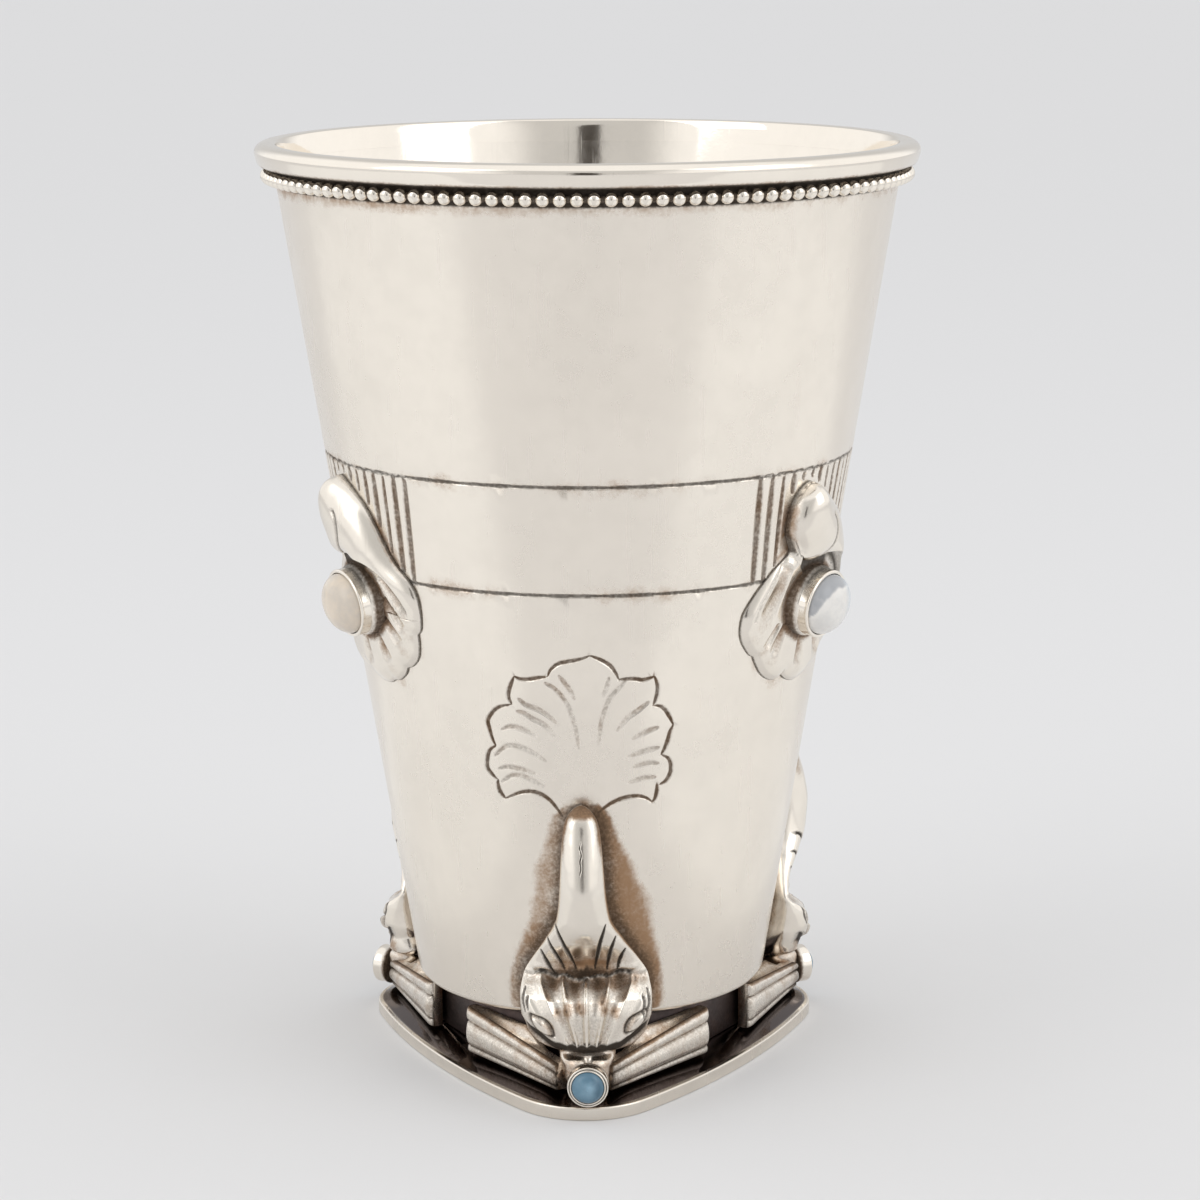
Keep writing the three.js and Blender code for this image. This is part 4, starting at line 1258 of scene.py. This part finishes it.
def setting_profile(size):
    """Tube with a flared root and a thin lip over the stone; a bezel has a groove round its lip."""
    radius, depth, inner = size["width"] / 2, size["depth"], size["width"] / 2 - size["wall"]
    root = [(0.0, -size["root"]), (radius + size["flare"], -size["root"]),
            (radius + 0.6 * size["flare"], 0.35), (radius - 0.12, 0.9), (radius - 0.04, depth - 0.5)]
    if size["groove"]:
        groove = inner + 0.32
        lip = [(radius - 0.06, depth - 0.1), (groove + 0.07, depth - 0.06), (groove, depth - 0.26),
               (groove - 0.06, depth - 0.08), (groove - 0.14, depth + 0.06), (inner - 0.02, depth + 0.1)]
    else:
        lip = [(radius + 0.02, depth - 0.1), (radius - 0.2, depth + 0.1), (inner - 0.02, depth + 0.1)]
    bowl = [(inner - 0.1, depth - 0.1), (inner - 0.05, size["floor"]), (0.0, size["floor"])]
    return rounded([*root, *lip, *bowl], 0.2, 4)


def stone_profile(radius, girdle, dome):
    turn = np.linspace(0, math.pi / 2, 34)
    crown = np.stack([radius * np.cos(turn) ** 0.9, girdle + dome * np.sin(turn)], 1)
    crown[-1, 0] = 0.0
    return np.vstack([[(0.0, 0.0), (radius - 0.2, 0.0), (radius, 0.25)], crown])


def seated(points, size, share, lift, base, height, azimuth):
    """Points of a piece turned about -Y: made oval, leant, moved to its seat and turned to its azimuth."""
    x, y, z = (points * np.array([1.0, 1.0, share]) - np.array([0.0, lift, 0.0])).T
    c, s = math.cos(size["lean"]), math.sin(size["lean"])
    leant = np.stack([x + size["across"], c * y - s * z - base, s * y + c * z + height], 1)
    return turned_points(leant, azimuth)


COLLET = {"width": 13.6, "height": 11.6, "depth": 2.8, "wall": 0.6, "floor": 0.7, "girdle": 1.7, "dome": 3.4,
          "root": 1.3, "flare": 0.6, "groove": False, "lean": math.atan(WALL_SLOPE), "across": 0.0}
BEZEL = {"width": 7.0, "height": 7.0, "depth": 2.6, "wall": 0.7, "floor": 0.6, "girdle": 1.5, "dome": 1.7,
         "root": 0.0, "flare": 0.0, "groove": True, "lean": 0.0, "across": 0.75}
STONE_GAP = 0.06


def oval_milk_and_highlight(place, x, z):
    """Milk with painted highlight, blue sheen and painted warm reflection of an oval stone at places across
    and up, in half widths.
    """
    if place == "right":
        # painted highlight and reflection on the right stone: a white patch under a grey band, with a blue
        # sheen to the right
        level = np.interp(x, [-1, -0.97, -0.87, -0.68, -0.25, 0.4], [-0.35, -0.19, 0.12, 0.47, 0.66, 0.72])
        edge = z - level + 0.03 * np.sin(7.0 * x) + 0.015 * np.sin(19.0 * x + 1.0)
        sheen = 0.8 * smoothstep(0.1, 0.6, x) * smoothstep(-0.7, 0.0, z)
        return {"milk_and_highlight": smoothstep(0.05, -0.05, edge), "sheen": sheen}
    # the other stones: a painted highlight lower in the middle, and the warm painted reflection of the silver
    # in the bloom mark
    return {"milk_and_highlight": 0.84 + 0.12 * bell(np.hypot(x - 0.2, z + 0.3), 0.6), "bloom": np.full_like(x, 0.8)}


def round_milk_and_highlight(place, x, z):
    """Milky glow with a painted highlight in the middle, and blue sheen, of a round stone at places across
    and up, in half widths.
    """
    middle = np.hypot(x + 0.15, z - 0.05)
    veins = 0.5 + 0.5 * np.sin(5.0 * x + 3.0 * z) * np.sin(4.0 * z - 2.0 * x + 1.0)
    return {"milk_and_highlight": 0.85 * smoothstep(1.0, 0.15, middle) * (0.65 + 0.35 * veins),
            "sheen": 0.5 * smoothstep(0.2, 0.9, np.hypot(x - 0.3, z))}


def make_setting(size, base, height, place, azimuth, names, nodes, stone_slot, milk_and_highlight):
    """One collet or bezel and its stone, at a distance from the axis, a height and an azimuth."""
    radius, depth, inner = size["width"] / 2, size["depth"], size["width"] / 2 - size["wall"]
    points, faces = revolve(setting_profile(size), SETTING_COLUMNS)
    out, up = -points[:, 1], points[:, 2] / radius
    across = np.hypot(points[:, 0], points[:, 2])
    inside = smoothstep(inner + 0.02, inner - 0.06, across)
    if size["groove"]:
        inside = np.maximum(inside, bell(across - inner - 0.32, 0.09) * (out > depth - 0.5))
    # painted shade: a dark ring round the foot of a setting where it stands, with bloom there too
    foot = smoothstep(0.9, 0.1, out)
    shaded = size["root"] * smoothstep(0.1, 0.9, up) * smoothstep(depth - 0.1, 0.6, out)
    below = smoothstep(0.2, -0.9, up) * (out < depth - 0.2)
    marks = {"dark": np.maximum.reduce([0.9 * inside, 0.8 * foot, 0.85 * np.clip(shaded, 0, 1)]),
             "bloom": np.maximum(0.7 * foot, 0.3 * below)}
    placed = seated(points, size, size["height"] / size["width"], 0.0, base, height, azimuth)
    make_piece(names[0], placed, faces, finish("bright_silver"), [nodes[0]], marks)
    fit = inner - STONE_GAP
    profile = stone_profile(fit, size["girdle"] + 0.1, size["dome"] + 0.1)
    points, faces = revolve(profile, SETTING_COLUMNS)
    tall = (size["height"] / 2 - size["wall"] - STONE_GAP) / fit
    placed = seated(points, size, tall, size["floor"] + 0.05, base, height, azimuth)
    make_piece(names[1], placed, faces, finish(stone_slot), [nodes[1]],
               milk_and_highlight(place, points[:, 0] / fit, points[:, 2] / fit))


class BEAKER_OT_stones(bpy.types.Operator):
    """Make the collets and bezels with their stones"""
    bl_idname = "beaker.stones"
    bl_label = "Set Stones"

    def execute(self, context):
        base = float(wall_radius(SHELL_CENTRE)) + 2 * SOLDER_GAP + 1.4
        for place, azimuth in SHELLS.items():
            make_setting(COLLET, base, SHELL_CENTRE, place, azimuth,
                         (f"collet_{place}_tube", f"oval_{place}_cabochon"),
                         (f"collet_{place}", f"oval_stone_{place}"), "oval_moonstone", oval_milk_and_highlight)
        low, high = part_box("mouth_bezel_front")
        for place, azimuth in DOLPHINS.items():
            make_setting(BEZEL, -high.y / MM, (low.z + high.z) / (2 * MM), place, azimuth,
                         (f"bezel_{place}_tube", f"round_{place}_cabochon"),
                         (f"mouth_bezel_{place}", f"mouth_stone_{place}"), "round_moonstone", round_milk_and_highlight)
        return {"FINISHED"}


# Shells

SHELL_POINTS = [
    (-6.6, 9.2), (-9.6, 6.8), (-11.6, 5.0), (-14.0, 2.2), (-15.6, -0.8), (-15.3, -4.4), (-13.2, -7.3),
    (-11.8, -8.2), (-10.9, -9.6), (-9.2, -11.6), (-7.0, -12.9), (-5.0, -13.2), (-3.5, -12.7),
    (-2.0, -13.7), (0.4, -14.4), (3.0, -14.3), (4.9, -13.5), (6.4, -13.2), (8.2, -12.0), (9.1, -10.7),
    (10.8, -10.0), (12.4, -8.4), (13.1, -6.2), (13.3, -4.3), (14.2, -3.2), (14.7, -0.6), (14.6, 2.4),
    (13.4, 4.9), (10.4, 7.8), (8.5, 10.6), (6.4, 14.0), (4.2, 16.7), (2.0, 18.3), (-0.8, 19.9),
    (-3.6, 20.9), (-6.0, 19.9), (-7.7, 17.9), (-8.4, 15.2), (-8.2, 12.2),
]
SHELL_CUSPS = (7, 12, 16, 19, 23)
COWL_EDGE = [(12.9, -1.6), (12.7, 0.2), (12.0, 1.9), (11.0, 3.4), (9.7, 4.8), (8.0, 6.2), (6.0, 7.4),
             (3.6, 8.0), (1.0, 8.2), (-1.4, 7.9), (-3.6, 7.6), (-5.4, 8.0), (-6.6, 9.2)]
TONGUE_GROOVE = [(-0.5, 15.3), (0.1, 14.5), (0.5, 13.4), (0.7, 11.9), (0.3, 10.1), (-0.6, 8.8), (-1.4, 8.1)]
WING_LINE = [(-7.6, 8.0), (-10.1, 4.9), (-12.6, 1.2), (-13.6, -1.5)]
SHELL_FLUTES = [
    ([(-7.6, 6.4), (-9.6, 2.6), (-11.1, -0.7), (-12.4, -4.0)], 4.8),
    ([(-8.2, -3.2), (-9.6, -5.6), (-10.6, -7.6)], 2.4),
    ([(-6.4, -3.6), (-7.6, -6.4), (-8.3, -9.3)], 3.6), ([(-1.2, -5.6), (-1.0, -8.7), (-0.7, -11.9)], 3.4),
    ([(3.2, -5.0), (4.8, -8.0), (6.2, -10.8)], 3.4), ([(6.2, -1.8), (8.4, -4.6), (10.3, -7.2)], 3.4),
    ([(7.6, 1.0), (9.6, -1.6), (11.7, -4.6)], 3.0), ([(7.4, 4.6), (9.8, 2.0), (12.2, -1.0)], 3.0),
]


def shell_outline():
    """Outline of a shell: smooth lobes that meet in sharp cusps."""
    marks = [SHELL_CUSPS[-1] - len(SHELL_POINTS), *SHELL_CUSPS]
    pieces = []
    for a, b in zip(marks, marks[1:]):
        span = [SHELL_POINTS[k] for k in range(a, b + 1)]
        pieces.append(smooth_path(span, 0.3)[:-1])
    return np.vstack(pieces)


def shell_floor(at, from_edge, away, settings):
    """Height, darkness and bloom of a shell's open face with its flutes."""
    valley, stain = np.zeros(len(at)), np.zeros(len(at))
    for points, width in SHELL_FLUTES:
        distance, share = to_path(at, smooth_path(points, 0.4))
        half = width / 2 * (0.5 + 0.5 * share)
        hollow = np.clip(1 - (distance / half) ** 2, 0, 1)
        valley = np.maximum(valley, hollow * smoothstep(1.0, 0.6, share))
        stain = np.maximum(stain, hollow)
    line, _ = to_path(at, smooth_path(WING_LINE, 0.4))
    roll = np.sin(0.5 * math.pi * np.clip(from_edge / 2.6, 0, 1)) ** 0.9
    height = 0.2 + 1.4 * roll - settings.shell_flute / MM * valley - 0.22 * bell(line, 0.35)
    root = smoothstep(12.0, 6.5, away)
    dark = np.maximum(stain * (0.03 + 0.38 * root), 0.25 * bell(line, 0.3))
    return height, dark, stain * (0.24 + 0.56 * root)


def shell_mesh(settings):
    """Polar grid from under the collet out to the edge, with a row on the cowl's lip."""
    outline = shell_outline()
    edge = np.vstack([outline, outline[:1]])
    angle = np.unwrap(np.arctan2(outline[:, 1], outline[:, 0]))
    turns = np.linspace(angle[0], angle[0] + 2 * math.pi, 480, endpoint=False)
    reach = np.interp(turns, np.append(angle, angle[0] + 2 * math.pi), np.hypot(edge[:, 0], edge[:, 1]))
    seat_at = 4.4 * 3.6 / np.hypot(3.6 * np.cos(turns), 4.4 * np.sin(turns))
    lip = smooth_path(COWL_EDGE, 0.3)
    lip_turn = np.degrees(np.arctan2(lip[:, 1], lip[:, 0]))
    bearing = (np.degrees(turns) + 90) % 360 - 90
    under = (bearing > lip_turn[0]) & (bearing < lip_turn[-1])
    lip_at = np.interp(bearing, lip_turn, np.hypot(lip[:, 0], lip[:, 1]))
    lip_at = np.minimum(np.where(under, lip_at, 7.6), reach - 0.4)
    inner_rows, outer_rows = 16, 54
    near = seat_at + (lip_at - 0.08 - seat_at) * np.linspace(0, 1, inner_rows)[:, None]
    far = lip_at + (reach - lip_at) * (1 - (1 - np.linspace(0, 1, outer_rows)) ** 1.15)[:, None]
    away = np.vstack([near, far])
    u, v = away * np.cos(turns), away * np.sin(turns)
    at = np.stack([u.ravel(), v.ravel()], 1)
    from_edge = to_path(at, edge)[0].reshape(u.shape)
    from_edge[-1] = 0.0
    height, dark, bloom = (value.reshape(u.shape) for value in shell_floor(
        at, from_edge.ravel(), away.ravel(), settings))
    stains_and_shade = StainsAndShade(u.shape)
    stains_and_shade.touch(dark, bloom)

    tall = np.interp(bearing, [-7, 8, 25, 45, 60, 90, 105, 126], [1.5, 2.0, 2.7, 3.6, 4.3, 4.6, 4.8, 4.6])
    width = np.interp(bearing, [0, 30, 60, 90], [3.0, 4.5, 5.5, 6.5])
    width = width + (4.4 - width) * smoothstep(-1.0, -5.0, u)
    swell = np.sqrt(1 - (1 - np.clip(from_edge / width, 0, 1)) ** 2) ** (1.0 + 0.6 * smoothstep(-4, 3, u))
    blunt = smoothstep(55, 95, bearing) * (1 - np.sqrt(1 - (1 - np.clip((away - lip_at) / 3.2, 0, 1)) ** 2))
    pillow = (0.25 + (tall - 0.25) * swell) * (1 - 0.36 * blunt)
    body = pillow[inner_rows:]
    for _ in range(14):
        body[1:-1] = 0.25 * (body[:-2] + body[2:] + np.roll(body, 1, 1)[1:-1] + np.roll(body, -1, 1)[1:-1])
    hood = np.zeros(u.shape, bool)
    hood[inner_rows:] = under
    lifted = hood * smoothstep(lip_turn[0], lip_turn[0] + 12, bearing)
    height = height + (pillow - height) * lifted
    stains_and_shade.fade(1 - lifted)

    below = np.clip(lip_at - away, 0, None)
    shade = bell(below, 1.5) * under * ~hood * smoothstep(lip_turn[0], lip_turn[0] + 14, bearing)
    stains_and_shade.touch(0.96 * shade)
    # painted shade between the tongue's tip and the collet
    stains_and_shade.touch(0.94 * under * ~hood * smoothstep(48, 66, bearing) * smoothstep(5.4, 6.4, away))
    height = height - 0.3 * shade
    groove = to_path(at, smooth_path(TONGUE_GROOVE, 0.3))[0].reshape(u.shape)
    height = height - 0.5 * bell(groove, 0.24) * hood
    stains_and_shade.touch(0.99 * bell(groove, 0.30) * hood)
    height = np.clip(height, 0.15, None)
    height[-1] = 0.15
    # a thin dark line along the very edge: painted reflection of the dark surroundings in the steep edge
    stains_and_shade.touch(0.8 * smoothstep(0.14, 0.04, from_edge))
    # painted shade round the collet's foot, with bloom there too
    foot = smoothstep(1.6, 0.2, away - np.hypot(7.0 * np.cos(turns), 6.0 * np.sin(turns)))
    stains_and_shade.touch(0.7 * foot, 0.9 * foot)
    left_edge = smoothstep(-5.5, -8.0, u) * smoothstep(8.0, 10.0, v) * smoothstep(19.0, 16.5, v)
    stains_and_shade.touch(0.0, 0.6 * left_edge * smoothstep(0.8, 0.1, from_edge))
    right_edge = smoothstep(1.0, 4.0, u) * smoothstep(4.0, 7.0, v) * smoothstep(17.0, 14.0, v)
    stains_and_shade.touch(0.0, 0.45 * right_edge * smoothstep(0.5, 0.1, from_edge))

    z = SHELL_CENTRE + v
    ground = wall_radius(z) + 0.05
    back = np.array([1.0, 0.75, 0.5, 0.25])[:, None]
    back_z = SHELL_CENTRE + back * v[-1]
    back_ground = wall_radius(back_z) + 0.05
    out = np.vstack([ground + height, back_ground - 0.02])
    turn_at = np.vstack([u / ground, back * u[-1] / back_ground])
    grid = np.stack([out * np.sin(turn_at), -out * np.cos(turn_at), np.vstack([z, back_z])], 2)
    rows = [*range(len(z)), *[-1] * len(back)]
    stains_and_shade.dark, stains_and_shade.bloom = stains_and_shade.dark[rows][::-1], stains_and_shade.bloom[rows][::-1]
    return *capped_grid(grid[::-1]), stains_and_shade.marks([0.5, 0.5])


class BEAKER_OT_shells(bpy.types.Operator):
    """Make the three shells on the wall"""
    bl_idname = "beaker.shells"
    bl_label = "Shells"

    def execute(self, context):
        points, faces, marks = shell_mesh(context.scene.beaker_castings)
        for place, azimuth in SHELLS.items():
            make_piece(f"shell_{place}_cast", turned_points(points, azimuth), faces, finish("worn_silver"),
                       [f"shell_{place}"], marks)
        return {"FINISHED"}


# Stage, in metres

CAMERA_CARD = [(-0.056, 0.0), (0.094, 0.0), (0.094, 0.40), (0.060, 0.52), (0.0, 0.55), (-0.056, 0.55)]
CAMERA_CARD_AT = -0.95
BOUNCE_CARD = [(0.06, -0.13), (0.50, -0.42), (0.70, 0.40), (0.08, 0.10)]
BOUNCE_LIFT = 0.002


def world_light():
    """Soft tent of light: bright sides and top, greyer ahead, pale where the camera sees it."""
    world = bpy.context.scene.world or bpy.data.worlds.new("Tent")
    bpy.context.scene.world = world
    world.use_nodes = True
    tree = world.node_tree
    tree.nodes.clear()
    way = tree.nodes.new("ShaderNodeTexCoord").outputs["Generated"]
    axes = joined(tree, "ShaderNodeSeparateXYZ", {0: way})
    x, _, z = axes.outputs
    sides = ramp(tree, math_node(tree, "ABSOLUTE", x), 0.30, 0.62)
    top = ramp(tree, z, 0.55, 0.85)
    light = math_node(tree, "ADD", 0.66, math_node(tree, "MULTIPLY", sides, 0.42))
    light = math_node(tree, "MAXIMUM", light, math_node(tree, "MULTIPLY", top, 1.05))
    shade = joined(tree, "ShaderNodeCombineColor", {0: light, 1: light, 2: light}).outputs[0]
    path = tree.nodes.new("ShaderNodeLightPath")
    colour = mix_colour(tree, path.outputs["Is Camera Ray"], shade, (0.75, 0.75, 0.765))
    ground = joined(tree, "ShaderNodeBackground", {"Color": colour, "Strength": 1.0})
    out = tree.nodes.new("ShaderNodeOutputWorld")
    tree.links.new(ground.outputs[0], out.inputs["Surface"])


def flat_card(name, corners, colour, roughness):
    mesh = bpy.data.meshes.new(name)
    mesh.from_pydata(corners, [], [tuple(range(len(corners)))])
    card = bpy.data.objects.new(name, mesh)
    bpy.context.scene.collection.objects.link(card)
    material = bpy.data.materials.new(name)
    material.use_nodes = True
    shader = material.node_tree.nodes["Principled BSDF"]
    shader.inputs["Base Color"].default_value = (*colour, 1)
    shader.inputs["Roughness"].default_value = roughness
    shader.inputs["Specular IOR Level"].default_value = 0.2
    mesh.materials.append(material)
    return card


def area_light(name, place, size, power):
    lamp = bpy.data.lights.new(name, "AREA")
    lamp.shape, lamp.size, lamp.size_y, lamp.energy = "RECTANGLE", size[0], size[1], power
    light = bpy.data.objects.new(name, lamp)
    light.location = place
    light.rotation_euler = (Vector((0, 0, 0.08)) - Vector(place)).to_track_quat("-Z", "Y").to_euler()
    bpy.context.scene.collection.objects.link(light)


class BEAKER_OT_stage(bpy.types.Operator):
    """Make the floor, the light and the camera"""
    bl_idname = "beaker.stage"
    bl_label = "Stage"

    def execute(self, context):
        settings = context.scene.beaker_stage
        context.scene.view_settings.view_transform = "Standard"
        flat_card("floor", [(-9, -9, 0), (9, -9, 0), (9, 9, 0), (-9, 9, 0)], settings.floor, 0.9)
        corners = [(x, CAMERA_CARD_AT, z) for x, z in CAMERA_CARD]
        cards = [flat_card("camera_card", corners, (0.06, 0.052, 0.046), 0.9)]
        for name, side in (("left_bounce", -1), ("right_bounce", 1)):
            corners = [(side * x, y, BOUNCE_LIFT) for x, y in BOUNCE_CARD]
            cards.append(flat_card(name, corners, settings.bounce, 0.9))
        for card in cards:
            card.visible_camera = card.visible_diffuse = card.visible_shadow = False
        world_light()
        area_light("left_softbox", (-0.75, -0.45, 0.75), (0.6, 0.8), 1.3)
        area_light("right_softbox", (0.80, -0.35, 0.70), (0.6, 0.8), 1.3)
        turn, pitch, roll = settings.turn, settings.pitch, settings.roll
        camera = bpy.data.objects.new("camera", bpy.data.cameras.new("camera"))
        right = Vector((math.cos(turn), math.sin(turn), 0))
        towards = Vector((-math.sin(turn), math.cos(turn), 0))
        ahead = towards * math.cos(pitch) - Vector((0, 0, math.sin(pitch)))
        up = right.cross(ahead)
        level = right * math.cos(roll) + up * math.sin(roll)
        upright = up * math.cos(roll) - right * math.sin(roll)
        place = right * settings.shift - towards * settings.distance
        place.z = settings.height
        axes = Matrix((level, upright, -ahead)).transposed().to_4x4()
        camera.matrix_world = Matrix.Translation(place) @ axes
        camera.data.lens, camera.data.sensor_width = settings.lens, 36.0
        camera.data.clip_start, camera.data.clip_end = 0.01, 50.0
        context.scene.collection.objects.link(camera)
        context.scene.camera = camera
        return {"FINISHED"}


PIECE_OPERATORS = (BEAKER_OT_foot, BEAKER_OT_cup, BEAKER_OT_lip, BEAKER_OT_beads, BEAKER_OT_dolphins,
                   BEAKER_OT_fins, BEAKER_OT_shells, BEAKER_OT_stones, BEAKER_OT_stage)
SETTINGS = {"beaker_engraving": EngravingSettings, "beaker_beads": BeadSettings,
            "beaker_castings": CastingSettings, "beaker_finish": FinishSettings,
            "beaker_stage": StageSettings}


class BEAKER_PT_sidebar(bpy.types.Panel):
    """Beaker's pieces and settings"""
    bl_idname = "BEAKER_PT_sidebar"
    bl_label = "Silver Beaker"
    bl_space_type = "VIEW_3D"
    bl_region_type = "UI"
    bl_category = "Beaker"

    def draw(self, context):
        for operator in PIECE_OPERATORS:
            self.layout.operator(operator.bl_idname)
        for group, kind in SETTINGS.items():
            box = self.layout.box()
            for name in kind.__annotations__:
                box.prop(getattr(context.scene, group), name)


def register():
    for group, kind in SETTINGS.items():
        bpy.utils.register_class(kind)
        setattr(bpy.types.Scene, group, bpy.props.PointerProperty(type=kind))
    for operator in PIECE_OPERATORS:
        bpy.utils.register_class(operator)
    bpy.utils.register_class(BEAKER_PT_sidebar)


def unregister():
    bpy.utils.unregister_class(BEAKER_PT_sidebar)
    for operator in reversed(PIECE_OPERATORS):
        bpy.utils.unregister_class(operator)
    for group, kind in SETTINGS.items():
        delattr(bpy.types.Scene, group)
        bpy.utils.unregister_class(kind)


def main():
    register()
    bpy.ops.beaker.foot()
    bpy.ops.beaker.cup()
    bpy.ops.beaker.lip()
    bpy.ops.beaker.beads()
    bpy.ops.beaker.dolphins()
    bpy.ops.beaker.fins()
    bpy.ops.beaker.shells()
    bpy.ops.beaker.stones()
    bpy.ops.beaker.stage()


if __name__ == "__main__":
    main()
